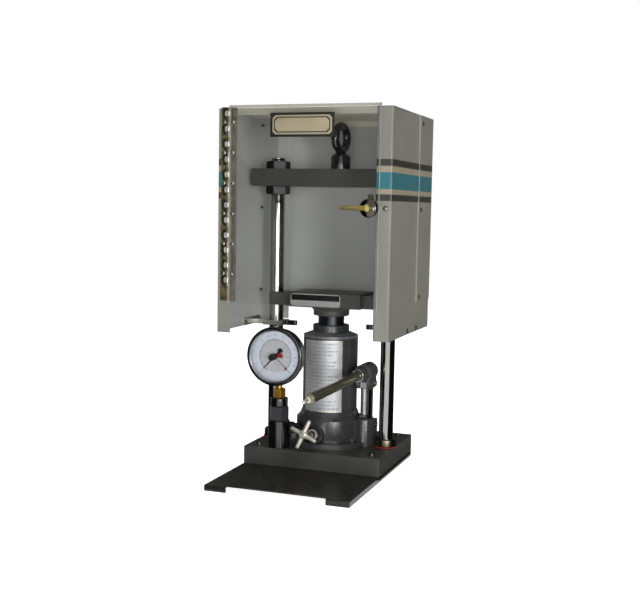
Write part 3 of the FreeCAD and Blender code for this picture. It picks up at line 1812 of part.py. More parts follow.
def cover_screw_places():
    """The three screws down each side of the rear cover."""
    levels = (d.cover_screw_top, d.cover_screw_middle, d.cover_screw_bottom)
    return [(d.cover_screw_back, level) for level in levels]


def strap_screw_places():
    """The two screws that hold each side panel to the foot of its strap."""
    level = d.guard_bottom + d.strap_screw_rise
    return [(-d.strap_screw_front, level), (d.strap_screw_rear, level)]


strike_x = d.latch_side + d.strike_offset


def strike_hole():
    """The hole in the right-hand front flange for the strike screw."""
    return rod(
        "strike_hole",
        guard_screw_way,
        (strike_x, -d.guard_front - OVERCUT, d.latch_level),
        d.guard_gauge + 2 * OVERCUT,
        ALONG_Y,
    )


def hinge_flange_holes():
    """The row of holes in the left-hand front flange for the fixed leaf's screws."""
    return [
        rod(
            "flange_hole",
            d.hinge_screw_radius + d.seat_clearance,
            (hinge_x - d.hinge_leaf_width * HINGE_HOLE_SHARE, -d.guard_front - OVERCUT, level),
            d.guard_gauge + 2 * OVERCUT,
            ALONG_Y,
        )
        for level in screw_levels
    ]


def make_guard_top():
    """The roof sheet between the side panels, turned down at the front."""
    top = d.guard_top_level
    gauge = d.guard_gauge
    front = -d.guard_front + gauge
    rear = d.guard_rear - gauge
    roof = extruded(
        "roof",
        [(-guard_inner, front), (guard_inner, front), (guard_inner, rear), (-guard_inner, rear)],
        gauge,
        (0, 0, top - gauge),
    )
    dress(roof, "Fillet", d.guard_bend, lambda edge: runs_along(edge, UPWARDS))
    lip_ends = (d.guard_flange_left - guard_half, guard_half - d.guard_flange_right)
    lip = box("roof_lip", lip_ends, (front, front + gauge), (top - d.guard_top_lip, top))
    tail_levels = (top - d.guard_top_lip, top)
    tail = box("roof_tail", both(guard_half - d.guard_return), (rear - gauge, rear), tail_levels)
    return node("guard_top", fuse("guard_top_body", [roof, lip, tail]))


def make_rear_cover():
    """The rear cover, a sheet folded round the back edges of the side panels."""
    gauge = d.guard_gauge
    outer = guard_half + gauge
    rear = d.guard_rear + gauge
    outline = [
        (-outer, d.cover_flange_front),
        (-guard_half, d.cover_flange_front),
        (-guard_half, d.guard_rear),
        (guard_half, d.guard_rear),
        (guard_half, d.cover_flange_front),
        (outer, d.cover_flange_front),
        (outer, rear),
        (-outer, rear),
    ]
    cover = extruded("cover_fold", outline, d.guard_top_level - d.cover_bottom, (0, 0, d.cover_bottom))
    dress(cover, "Fillet", d.guard_bend, lambda edge: folds_at(edge, guard_half, d.guard_rear, d.guard_rear))
    dress(cover, "Fillet", d.guard_bend + gauge, lambda edge: folds_at(edge, outer, rear, rear))
    places = cover_screw_places()
    holes = [
        rod("cover_hole", guard_screw_way, (x - HOLE_REACH, y, z), as_size(2 * HOLE_REACH), ALONG_X)
        for x in (-guard_half, guard_half)
        for y, z in places
    ]
    return node("guard_rear_cover", cut("guard_rear_cover_body", cover, holes))


def round_head_screw(name, at, rotation, length):
    """A round-headed screw: its head stands out from the seat, its shank goes back into it."""
    head = d.guard_head_radius
    shank = d.guard_screw_radius
    tall = d.guard_head_height
    outline = [
        (0, -length),
        (shank, -length),
        (shank, 0),
        (head, 0),
        (head * 0.9, tall * 0.55),
        (head * 0.55, tall),
        (0, tall),
    ]
    return turned(name, outline, at, rotation)


def make_guard_screws():
    """The screws through the rear cover and side panels, and the strike screw beside the latch."""
    screws = []
    reach = d.guard_screw_length
    for side in (-1, 1):
        turn = ALONG_X if side > 0 else FreeCAD.Rotation(VECTOR(0, 1, 0), -90)
        seat = side * (guard_half + d.guard_gauge)
        for y, z in cover_screw_places():
            screws.append(round_head_screw("cover_screw", (seat, y, z), turn, reach))
        panel = side * guard_half
        for y, z in strap_screw_places():
            screws.append(round_head_screw("strap_screw", (panel, y, z), turn, reach))
    screws.append(
        round_head_screw("strike_screw", (strike_x, -d.guard_front, d.latch_level), FACING_FRONT, reach)
    )
    return node("guard_screws", group("guard_screws_set", screws))


def span(side, near, far):
    """Two distances from the middle as a low and a high place on the left or on the right."""
    return (near, far) if side > 0 else (-far, -near)


def make_guard_straps():
    """The bright straps that carry the side panels on the columns, and the black clamp knobs on their ends."""
    straps = []
    knobs = []
    low = d.strap_level
    high = low + d.strap_height
    wall = column_bore + d.strap_clamp_wall
    foot_top = d.guard_bottom + d.strap_foot_height
    near = column_side - wall
    for side, x in zip((-1, 1), column_sides):
        clamp = box("strap_clamp", span(side, near, column_side + wall), both(wall), (low, high))
        neck_span = span(side, column_side, guard_inner - d.strap_foot_gauge / 2)
        neck = box("strap_neck", neck_span, both(d.strap_depth), (low, high))
        foot = box(
            "strap_foot",
            span(side, guard_inner - d.strap_foot_gauge, guard_inner),
            (-d.strap_foot_front, d.strap_foot_rear),
            (low, foot_top),
        )
        holes = [rod("strap_bore", column_bore, (x, 0, low - OVERCUT), d.strap_height + 2 * OVERCUT)]
        for y, z in strap_screw_places():
            start = side * guard_inner - HOLE_REACH
            reach = as_size(2 * HOLE_REACH)
            holes.append(rod("strap_tapping", guard_screw_way, (start, y, z), reach, ALONG_X))
        straps.append(cut("strap", fuse("strap_solid", [clamp, neck, foot]), holes))
        knob_low, knob_high = span(side, near - d.clamp_knob_reach, near)
        depth = d.clamp_knob_depth / 2
        knob = extruded(
            "clamp_knob",
            [(knob_low, -depth), (knob_high, -depth), (knob_high, depth), (knob_low, depth)],
            d.strap_height,
            (0, 0, low),
        )
        dress(knob, "Fillet", depth * 0.9, lambda edge: runs_along(edge, UPWARDS))
        eye = box(
            "knob_slot",
            (knob_low + depth, knob_high - depth),
            both(depth * 0.4),
            (low - OVERCUT, high + OVERCUT),
        )
        knobs.append(cut("knob", knob, [eye]))
    node("guard_straps", group("guard_straps_set", straps))
    node("clamp_knobs", group("clamp_knobs_set", knobs))


HINGE_HOLE_SHARE = 0.62
hinge_x = -d.hinge_side
leaf_front = -d.guard_front - d.hinge_gauge
hinge_y = leaf_front - d.hinge_knuckle_radius + d.hinge_gauge
knuckle_pitch = (d.guard_top_level + 2 - d.hinge_bottom) / d.hinge_knuckle_count
KNUCKLES = int(d.hinge_knuckle_count.value)
HINGE_SCREWS = int(d.hinge_screw_count.value)
door_back = leaf_front
door_front = door_back - d.door_thickness
door_left = hinge_x + d.door_left_gap
screw_levels = [d.hinge_screw_first + d.hinge_screw_pitch * index for index in range(HINGE_SCREWS)]
pin_radius = d.hinge_pin_diameter / 2


def hinge_leaf(name, side, parity):
    """A leaf of the long hinge with every other knuckle rolled from it."""
    tall = knuckle_pitch * d.hinge_knuckle_count
    near = hinge_x + side * 0.9
    far = hinge_x + side * d.hinge_leaf_width
    ends = (near, far) if side > 0 else (far, near)
    top = d.hinge_bottom + tall
    leaf = box(f"{name}_sheet", ends, (leaf_front, leaf_front + d.hinge_gauge), (d.hinge_bottom, top))
    own = []
    gaps = []
    for index in range(KNUCKLES):
        low = d.hinge_bottom + knuckle_pitch * index
        if index % 2 == parity:
            own.append(
                rod(
                    f"{name}_knuckle",
                    d.hinge_knuckle_radius,
                    (hinge_x, hinge_y, low + d.hinge_knuckle_gap / 2),
                    knuckle_pitch - d.hinge_knuckle_gap,
                )
            )
        else:
            clear = d.hinge_knuckle_radius + 0.6
            gap_level = low - d.hinge_knuckle_gap / 2
            gap_height = knuckle_pitch + d.hinge_knuckle_gap
            gaps.append(rod(f"{name}_gap", clear, (hinge_x, hinge_y, gap_level), gap_height))
    bore = rod(
        f"{name}_bore",
        pin_radius + d.running_clearance,
        (hinge_x, hinge_y, d.hinge_bottom - OVERCUT),
        tall + 2 * OVERCUT,
    )
    middle = hinge_x + side * (d.hinge_leaf_width * HINGE_HOLE_SHARE)
    holes = [
        rod(
            f"{name}_hole",
            d.hinge_screw_radius + d.seat_clearance,
            (middle, leaf_front - OVERCUT, level),
            d.hinge_gauge + 2 * OVERCUT,
            ALONG_Y,
        )
        for level in screw_levels
    ]
    cut_sheet = cut(f"{name}_open", leaf, gaps)
    return cut(name, fuse(f"{name}_solid", [cut_sheet] + own), [bore] + holes)


def make_hinge():
    """The long door hinge: fixed leaf on the guard's flange, moving leaf behind the door, and the pin."""
    node("hinge_fixed_leaf", hinge_leaf("fixed_leaf", -1, 0))
    node("hinge_moving_leaf", hinge_leaf("moving_leaf", 1, 1))
    tall = knuckle_pitch * d.hinge_knuckle_count
    node("hinge_pin", rod("hinge_pin_rod", pin_radius, (hinge_x, hinge_y, d.hinge_bottom), tall))
    fixed = []
    moving = []
    fixed_length = d.hinge_gauge + d.guard_gauge + 1
    moving_length = d.door_thickness + d.hinge_gauge
    for level in screw_levels:
        fixed_x = hinge_x - d.hinge_leaf_width * HINGE_HOLE_SHARE
        moving_x = hinge_x + d.hinge_leaf_width * HINGE_HOLE_SHARE
        fixed.append(hinge_screw("fixed_screw", (fixed_x, leaf_front, level), fixed_length))
        moving.append(hinge_screw("moving_screw", (moving_x, door_front, level), moving_length))
    node("hinge_fixed_screws", group("hinge_fixed_screws_set", fixed))
    node("hinge_moving_screws", group("hinge_moving_screws_set", moving))


def hinge_screw(name, at, length):
    """A small round-headed screw that points forwards."""
    shank = d.hinge_screw_radius
    head = d.hinge_head_radius
    tall = d.hinge_head_height
    outline = [
        (0, -length),
        (shank, -length),
        (shank, 0),
        (head, 0),
        (head * 0.85, tall * 0.6),
        (head * 0.45, tall),
        (0, tall),
    ]
    return turned(name, outline, at, FACING_FRONT)


def make_door():
    """The clear door sheet and the plate fixed near its top."""
    levels = (d.door_bottom, d.door_top)
    sheet_box = box("door_blank", (door_left, d.door_right), (door_front, door_back), levels)
    holes = [
        rod(
            "door_hole",
            d.hinge_screw_radius + d.seat_clearance,
            (hinge_x + d.hinge_leaf_width * HINGE_HOLE_SHARE, door_front - OVERCUT, level),
            d.door_thickness + 2 * OVERCUT,
            ALONG_Y,
        )
        for level in screw_levels
    ]
    holes.append(
        rod(
            "latch_hole",
            d.latch_stem_diameter / 2 + d.running_clearance,
            (d.latch_side, door_front - OVERCUT, d.latch_level),
            d.door_thickness + 2 * OVERCUT,
            ALONG_Y,
        )
    )
    node("door_sheet", cut("door_sheet_body", sheet_box, holes))
    half = d.nameplate_width / 2
    tall = d.nameplate_height / 2
    plate = extruded(
        "nameplate",
        [(-half, -tall), (half, -tall), (half, tall), (-half, tall)],
        d.nameplate_thickness,
        (0, door_front, d.nameplate_level),
        "y",
    )
    dress(plate, "Fillet", d.nameplate_corner / 3, lambda edge: runs_along(edge, VECTOR(0, 1, 0)))
    node("door_nameplate", plate)


def make_latch():
    """The latch: a plate on the door, a barrel with its lever rod, and the pawl behind."""
    x = d.latch_side
    z = d.latch_level
    plate_front = door_front - d.latch_plate_rise
    round_radius = d.latch_plate_diameter / 2
    bore = d.latch_stem_diameter / 2 + d.running_clearance
    dome = d.latch_plate_rise - d.latch_plate_rim
    plate = turned(
        "latch_dome",
        [
            (bore, 0),
            (round_radius, 0),
            (round_radius, d.latch_plate_rim),
            (round_radius * 0.92, d.latch_plate_rim + dome * 0.38),
            (round_radius * 0.76, d.latch_plate_rim + dome * 0.72),
            (round_radius * 0.56, d.latch_plate_rim + dome * 0.92),
            (round_radius * 0.36, d.latch_plate_rise),
            (bore, d.latch_plate_rise),
        ],
        (x, door_front, z),
        FACING_FRONT,
    )
    node("latch_plate", plate)
    barrel_radius = d.latch_barrel_diameter / 2
    barrel = turned(
        "latch_barrel",
        [
            (0, 0),
            (barrel_radius - 1, 0),
            (barrel_radius, 1),
            (barrel_radius, d.latch_barrel_length - 2),
            (barrel_radius - 2, d.latch_barrel_length),
            (0, d.latch_barrel_length),
        ],
        (x, plate_front, z),
        FACING_FRONT,
    )
    pawl_front = -d.guard_front + d.guard_gauge + d.latch_pawl_gap
    stem_back = pawl_front + d.latch_pawl_thickness
    stem_end = (x, stem_back, z)
    stem = rod("latch_stem", d.latch_stem_diameter / 2, stem_end, stem_back - plate_front + 1, FACING_FRONT)
    rod_y = plate_front - d.latch_barrel_length / 2
    left = FreeCAD.Rotation(VECTOR(0, 1, 0), -90)
    neck = rod("latch_neck", d.latch_neck_diameter / 2, (x, rod_y, z), d.latch_neck_reach, left)
    grip_length = d.latch_rod_reach - d.latch_neck_reach
    grip_radius = d.latch_rod_diameter / 2
    grip = turned(
        "latch_grip",
        [
            (0, -2),
            (grip_radius - 1, -2),
            (grip_radius, -1),
            (grip_radius, grip_length - 2),
            (grip_radius - 2, grip_length),
            (0, grip_length),
        ],
        (x - d.latch_neck_reach, rod_y, z),
        left,
    )
    node("latch_lever", fuse("latch_lever_body", [barrel, stem, neck, grip]))
    wide = d.latch_pawl_width / 2
    pawl = extruded(
        "pawl",
        [(-wide, -wide), (wide, -wide), (wide, d.latch_pawl_length), (-wide, d.latch_pawl_length)],
        d.latch_pawl_thickness,
        (x, stem_back, z),
        "y",
    )
    dress(pawl, "Fillet", wide * 0.6, lambda edge: runs_along(edge, VECTOR(0, 1, 0)))
    pawl_hole = rod(
        "pawl_hole",
        d.latch_stem_diameter / 2 + d.running_clearance,
        (x, pawl_front - OVERCUT, z),
        d.latch_pawl_thickness + 2 * OVERCUT,
        ALONG_Y,
    )
    node("latch_pawl", cut("latch_pawl_body", pawl, [pawl_hole]))


def make_everything():
    """Every sub-part, from the bench up."""
    make_bench_plate()
    make_base_block()
    make_base_screws()
    make_columns()
    make_column_feet()
    make_crosshead()
    make_crosshead_nuts()
    make_lifting_eye()
    make_jack_base()
    make_jack_tubes()
    make_hydraulic_seals()
    make_filler_plug()
    make_pump_inside()
    make_release_valve()
    make_ram()
    make_bolster()
    make_plunger()
    make_links()
    make_lever()
    make_gauge_stack()
    make_gauge_pipe()
    make_gauge_case()
    make_gauge_hands()
    make_bourdon_tube()
    make_guard_panels()
    make_guard_top()
    make_rear_cover()
    make_guard_screws()
    make_guard_straps()
    make_hinge()
    make_door()
    make_latch()


def check_and_write():
    """Stop on any failed feature or bad solid, then write one file for each sub-part."""
    doc.recompute()
    failed = [item.Name for item in doc.Objects if {"Invalid", "Error"} & set(item.State)]
    if failed:
        raise ValueError(f"failed features: {failed}")
    os.makedirs("parts", exist_ok=True)
    for label, feature in nodes.items():
        shape = feature.Shape
        if shape.isNull() or not shape.isValid() or not shape.Solids:
            raise ValueError(f"bad shape: {label}")
        shape.exportStep(f"parts/{label}.step")
        print(f"{label}: {len(shape.Solids)} solid(s), {shape.Volume / 1000:.1f} cm3")


make_everything()
check_and_write()
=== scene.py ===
"""Dresses a two-column laboratory press: finishes, printed dial, plates, threads, studio light and camera."""

import json
import logging
import math
from dataclasses import dataclass, field
from enum import Enum
from typing import Iterable, Sequence

import bmesh
import bpy
import numpy as np
from mathutils import Matrix, Vector


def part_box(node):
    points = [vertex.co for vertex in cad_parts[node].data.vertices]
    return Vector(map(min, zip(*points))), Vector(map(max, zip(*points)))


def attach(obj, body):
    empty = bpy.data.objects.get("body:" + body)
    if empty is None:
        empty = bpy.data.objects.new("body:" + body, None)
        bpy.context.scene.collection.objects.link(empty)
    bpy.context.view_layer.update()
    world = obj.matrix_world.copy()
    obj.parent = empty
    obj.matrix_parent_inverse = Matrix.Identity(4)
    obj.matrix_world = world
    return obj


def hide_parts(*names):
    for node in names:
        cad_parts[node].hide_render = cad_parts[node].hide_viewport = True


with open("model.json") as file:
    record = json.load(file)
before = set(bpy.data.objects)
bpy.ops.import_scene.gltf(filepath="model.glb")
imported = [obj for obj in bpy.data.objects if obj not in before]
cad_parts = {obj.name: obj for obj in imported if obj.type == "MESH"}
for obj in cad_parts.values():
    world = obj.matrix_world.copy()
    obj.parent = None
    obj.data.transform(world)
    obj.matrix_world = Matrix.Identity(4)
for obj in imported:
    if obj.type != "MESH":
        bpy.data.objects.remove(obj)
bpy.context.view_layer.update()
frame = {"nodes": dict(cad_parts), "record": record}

log = logging.getLogger("laboratory_press")

Array = np.ndarray
Shape = tuple[Array, list]
Colour = tuple[float, float, float]
Socket = bpy.types.NodeSocket
Tree = bpy.types.NodeTree

WHITE: Colour = (1.0, 1.0, 1.0)
UP = (0.0, 0.0, 1.0)
FRONT = (0.0, -1.0, 0.0)
QUARTER_TURN = math.pi / 2.0
ARC_STEPS = 96
CREASE = 32.0
MERGE = 2e-6
FLAT_ANGLE = 1.0
FONT_SIZE_OF_HEIGHT = 1.4


class Slot(Enum):
    """The finishes of the press, by the slot that the record gives them."""

    BLACK_PAINT = "black_paint"
    GREY_PAINT = "grey_paint"
    JACK_PAINT = "jack_paint"
    GUARD_PAINT = "guard_paint"
    HANDLE_PAINT = "handle_paint"
    PLATED_STEEL = "plated_steel"
    BARE_STEEL = "bare_steel"
    HINGE_STEEL = "hinge_steel"
    BLACK_STEEL = "black_steel"
    CHROMED_STEEL = "chromed_steel"
    RAM_STEEL = "ram_steel"
    CAST_HANDLE = "cast_handle"
    RED_FIBRE = "red_fibre"
    SEAL_RUBBER = "seal_rubber"
    GAUGE_BRASS = "gauge_brass"
    GAUGE_BLACK = "gauge_black"
    GAUGE_GLASS = "gauge_glass"
    DIAL_WHITE = "dial_white"
    POINTER_BLACK = "pointer_black"
    SET_HAND_RED = "set_hand_red"
    CLEAR_PLASTIC = "clear_plastic"
    PLATE_METAL = "plate_metal"


class Look(Enum):
    """Finishes that only the dressing has, each with the record's slot that it belongs to."""

    DARK_NUT = ("dark_nut", Slot.PLATED_STEEL)
    DARK_SCREW = ("dark_screw", Slot.PLATED_STEEL)
    COLLAR_STEEL = ("collar_steel", Slot.PLATED_STEEL)
    LABEL_SILVER = ("label_silver", Slot.PLATED_STEEL)
    LABEL_PRINT = ("label_print", Slot.BLACK_STEEL)
    PLATE_SILVER = ("plate_silver", Slot.PLATED_STEEL)
    DARK_HINGE = ("dark_hinge", Slot.HINGE_STEEL)
    DARK_CHROME = ("dark_chrome", Slot.PLATED_STEEL)
    LEVER_BRASS = ("lever_brass", Slot.GAUGE_BRASS)
    DIAL_GREY = ("dial_grey", Slot.DIAL_WHITE)
    DIAL_PRINT = ("dial_print", Slot.DIAL_WHITE)
    DIAL_ARC = ("dial_arc", Slot.DIAL_WHITE)
    BEZEL_SLOPE = ("bezel_slope", Slot.GAUGE_BLACK)
    GREY_ROD = ("grey_rod", Slot.BLACK_STEEL)
    GREY_FITTING = ("grey_fitting", Slot.BLACK_STEEL)
    CAP_PAINT = ("cap_sheen_paint", Slot.JACK_PAINT)
    KNUCKLE_WEAR = ("knuckle_highlight", Slot.HINGE_STEEL)
    LEAF_STAIN = ("leaf_shadow", Slot.HINGE_STEEL)
    SHEET_EDGE = ("sheet_edge", Slot.CLEAR_PLASTIC)
    SHEET_TOP = ("sheet_top", Slot.CLEAR_PLASTIC)
    COVER_EDGE = ("cover_edge", Slot.GUARD_PAINT)
    ROOF_PAINT = ("lit_roof_paint", Slot.GUARD_PAINT)


def srgb(red: int, green: int, blue: int) -> Colour:
    """Turns an eight-bit screen colour into the linear colour that a shader takes.

    Args:
        red: Red, from 0 to 255.
        green: Green, from 0 to 255.
        blue: Blue, from 0 to 255.

    Returns:
        Red, green and blue from 0 to 1.
    """
    screen = np.array([red, green, blue]) / 255.0
    linear = np.where(screen <= 0.04045, screen / 12.92, ((screen + 0.055) / 1.055) ** 2.4)
    return tuple(linear.tolist())


def name_of(look: Slot | Look) -> str:
    """The name of a finish's material."""
    return look.value if isinstance(look, Slot) else look.value[0]


# Geometry worked out as arrays


def grid_faces(rows: int, count: int, whole: bool = True, closed: bool = False) -> list:
    """The four-cornered faces between rows of points that are numbered row after row.

    Args:
        rows: How many rows there are.
        count: How many points each row has.
        whole: Whether a row's last point joins its first.
        closed: Whether the last row joins the first.

    Returns:
        The corners of each face.
    """
    low = np.arange(rows if closed else rows - 1)[:, None]
    high = (low + 1) % rows
    step = np.arange(count if whole else count - 1)
    after = (step + 1) % count
    corners = [low * count + step, low * count + after, high * count + after, high * count + step]
    return np.stack(corners, axis=-1).reshape(-1, 4).tolist()


def capped(rings: Array) -> Shape:
    """Joins rings of points, one after another, into a closed solid with a flat face at each end.

    Args:
        rings: The points, by ring, by place in the ring and by axis.

    Returns:
        The vertices and the faces.
    """
    rows, count, _ = rings.shape
    place = np.arange(count)
    caps = [place[::-1].tolist(), (place + (rows - 1) * count).tolist()]
    return rings.reshape(-1, 3), grid_faces(rows, count) + caps


def once_round(count: int) -> Array:
    """Evenly spaced angles in a full turn, in radians."""
    return np.linspace(0.0, 4.0 * QUARTER_TURN, count, endpoint=False)


def swept(radius: Array, height: Array, angle: Array) -> Array:
    """Points at (r cos a, r sin a, z), for each height z and each angle a.

    Args:
        radius: One radius for each height, or one for each height and angle.
        height: The heights.
        angle: The angles, in radians.

    Returns:
        The points, by height, by angle and by axis.
    """
    reach = radius if radius.ndim == 2 else radius[:, None]
    points = np.broadcast_arrays(reach * np.cos(angle), reach * np.sin(angle), height[:, None])
    return np.stack(points, axis=-1)


def lathe(profile: Sequence[tuple[float, float]], turns: int = 64, closed: bool = False) -> Shape:
    """Carries a half section once round the Z axis.

    Args:
        profile: Radius and height of each point, going up the outside.
        turns: How many steps there are in a full turn.
        closed: Whether the last point joins the first, as in a ring's section.

    Returns:
        The vertices and the faces.
    """
    section = np.asarray(profile, float)
    points = swept(section[:, 0], section[:, 1], once_round(turns))
    return points.reshape(-1, 3), grid_faces(len(section), turns, closed=closed)


def slab(outline: Array, thickness: float) -> Shape:
    """Gives a flat outline in X and Y, its corners anticlockwise, a thickness along Z."""
    levels = [np.column_stack([outline, np.full(len(outline), level)]) for level in (0.0, thickness)]
    return capped(np.array(levels))


def rectangle(width: float, height: float, clip: float = 0.0) -> Array:
    """A rectangle's corners about its middle, anticlockwise, each cut off by a clip.

    Args:
        width: The full width.
        height: The full height.
        clip: How far from each corner the cut starts.

    Returns:
        Four corners, or eight when they are clipped.
    """
    x = width / 2
    y = height / 2
    if clip > 0.0:
        half = np.array([(clip - x, -y), (x - clip, -y), (x, clip - y), (x, y - clip)])
    else:
        half = np.array([(-x, -y), (x, -y)])
    return np.vstack([half, -half])


def ellipse(wide: float, tall: float, count: int = 24) -> Array:
    """An ellipse's points, anticlockwise: x = a cos t and y = b sin t."""
    angle = once_round(count)
    return np.column_stack([wide * np.cos(angle), tall * np.sin(angle)])


def arc_band(inner: float, outer: float, start: float, end: float) -> Array:
    """The outline of a band between two radii, from one clock angle to another.

    The clock angle c is in degrees from the top, clockwise: x = r sin c and y = r cos c.

    Args:
        inner: The inner radius.
        outer: The outer radius.
        start: The first clock angle.
        end: The last clock angle.

    Returns:
        The corners, along the inner edge and back along the outer one.
    """
    clock = np.radians(np.linspace(start, end, ARC_STEPS))
    edge = np.column_stack([np.sin(clock), np.cos(clock)])
    return np.vstack([inner * edge, outer * edge[::-1]])


def clockwise(points: Array, clock: float) -> Array:
    """Turns points about Z, by an angle in radians: x cos c + y sin c, and y cos c - x sin c.

    Args:
        points: The points, with two or three coordinates each.
        clock: The angle.

    Returns:
        The turned points.
    """
    turned = points.copy()
    turned[:, 0] = points[:, 0] * math.cos(clock) + points[:, 1] * math.sin(clock)
    turned[:, 1] = points[:, 1] * math.cos(clock) - points[:, 0] * math.sin(clock)
    return turned


def moved(shape: Shape, at: Sequence[float]) -> Shape:
    """Moves a shape."""
    return shape[0] + np.asarray(at, float), shape[1]


def aimed(shape: Shape, at: Sequence[float], towards: Sequence[float] = UP, spin: float = 0.0) -> Shape:
    """Turns a shape so that its Z axis points along a direction, then moves it.

    Args:
        shape: The shape.
        at: Where its origin goes.
        towards: The direction its Z axis takes.
        spin: A turn about Z made first, in radians.

    Returns:
        The moved shape.
    """
    turn = Vector(towards).to_track_quat("Z", "Y").to_matrix() @ Matrix.Rotation(spin, 3, "Z")
    return moved((shape[0] @ np.array(turn).T, shape[1]), at)


def facing_front(shape: Shape, at: Sequence[float]) -> Shape:
    """Stands a flat drawing up so that its X runs right, its Y runs up and its Z points to the front."""
    x, y, z = shape[0].T
    return moved((np.column_stack([x, -z, y]), shape[1]), at)


def join(parts: Iterable[Shape]) -> Shape:
    """Puts several shapes into one list of vertices and faces.

    Args:
        parts: The shapes.

    Returns:
        All their vertices and faces.
    """
    points: list[Array] = []
    faces: list = []
    start = 0
    for vertices, polygons in parts:
        points.append(vertices)
        faces += [[corner + start for corner in polygon] for polygon in polygons]
        start += len(vertices)
    return np.vstack(points), faces


def mesh_points(mesh: bpy.types.Mesh) -> Array:
    """A mesh's vertices, one to a row.

    Args:
        mesh: The mesh.

    Returns:
        Its vertices' coordinates.
    """
    points = np.zeros(len(mesh.vertices) * 3)
    mesh.vertices.foreach_get("co", points)
    return points.reshape(-1, 3)


def letters(text: str, height: float, thickness: float) -> Shape:
    """The plain numbers of a scale, centred, as a thin solid.

    Args:
        text: What is printed.
        height: The height of a figure.
        thickness: How thick the print is.

    Returns:
        The vertices and the faces.
    """
    curve = bpy.data.curves.new("figures", "FONT")
    curve.body = text
    curve.size = height * FONT_SIZE_OF_HEIGHT
    curve.extrude = thickness / 2
    curve.resolution_u = 3
    holder = bpy.data.objects.new("figures", curve)
    mesh = bpy.data.meshes.new_from_object(holder)
    points = mesh_points(mesh)
    points -= (points.min(0) + points.max(0)) / 2
    points[:, 2] += thickness / 2
    faces = [list(polygon.vertices) for polygon in mesh.polygons]
    bpy.data.objects.remove(holder)
    bpy.data.meshes.remove(mesh)
    bpy.data.curves.remove(curve)
    return points, faces


def head_centres(node: str, axis: int, end: int) -> Array:
    """The middle of each screw's head: the centre of each loose part of a node, at one of its two ends.

    Every corner takes the lowest number among the corners that it shares a face with, again and again,
    until each loose part has one number.

    Args:
        node: The node that holds the screws.
        axis: The axis that the screws lie along, as 0, 1 or 2.
        end: 1 for the high end of that axis and -1 for the low one.

    Returns:
        One row for each screw.
    """
    mesh = frame["nodes"][node].data
    points = mesh_points(mesh)
    corners = np.zeros(len(mesh.loops), int)
    mesh.loops.foreach_get("vertex_index", corners)
    same = np.unique(np.round(points, decimals=6), axis=0, return_inverse=True)[1].reshape(-1)
    faces = same[corners].reshape(-1, 3)
    label = np.arange(same.max() + 1)
    settled = False
    while not settled:
        fresh = label.copy()
        np.minimum.at(fresh, faces.reshape(-1), np.repeat(label[faces].min(axis=1), 3))
        settled = np.array_equal(fresh, label)
        label = fresh
    part = label[same]
    centres = []
    for number in np.unique(part):
        body = points[part == number]
        centre = (body.min(0) + body.max(0)) / 2
        centre[axis] = body[:, axis].max() if end > 0 else body[:, axis].min()
        centres.append(centre)
    return np.array(centres)


# Shaders and the node groups that they share


def cleared(owner: bpy.types.Material | bpy.types.World) -> Tree:
    """Turns on the nodes of a material or a world and takes out the ones it starts with.

    Args:
        owner: The material or the world.

    Returns:
        Its empty nodes.
    """
    owner.use_nodes = True
    owner.node_tree.nodes.clear()
    return owner.node_tree


def show(tree: Tree, shader: Socket, output: str = "ShaderNodeOutputMaterial") -> None:
    """Joins a shader to the surface that is rendered."""
    tree.links.new(shader, tree.nodes.new(output).inputs["Surface"])


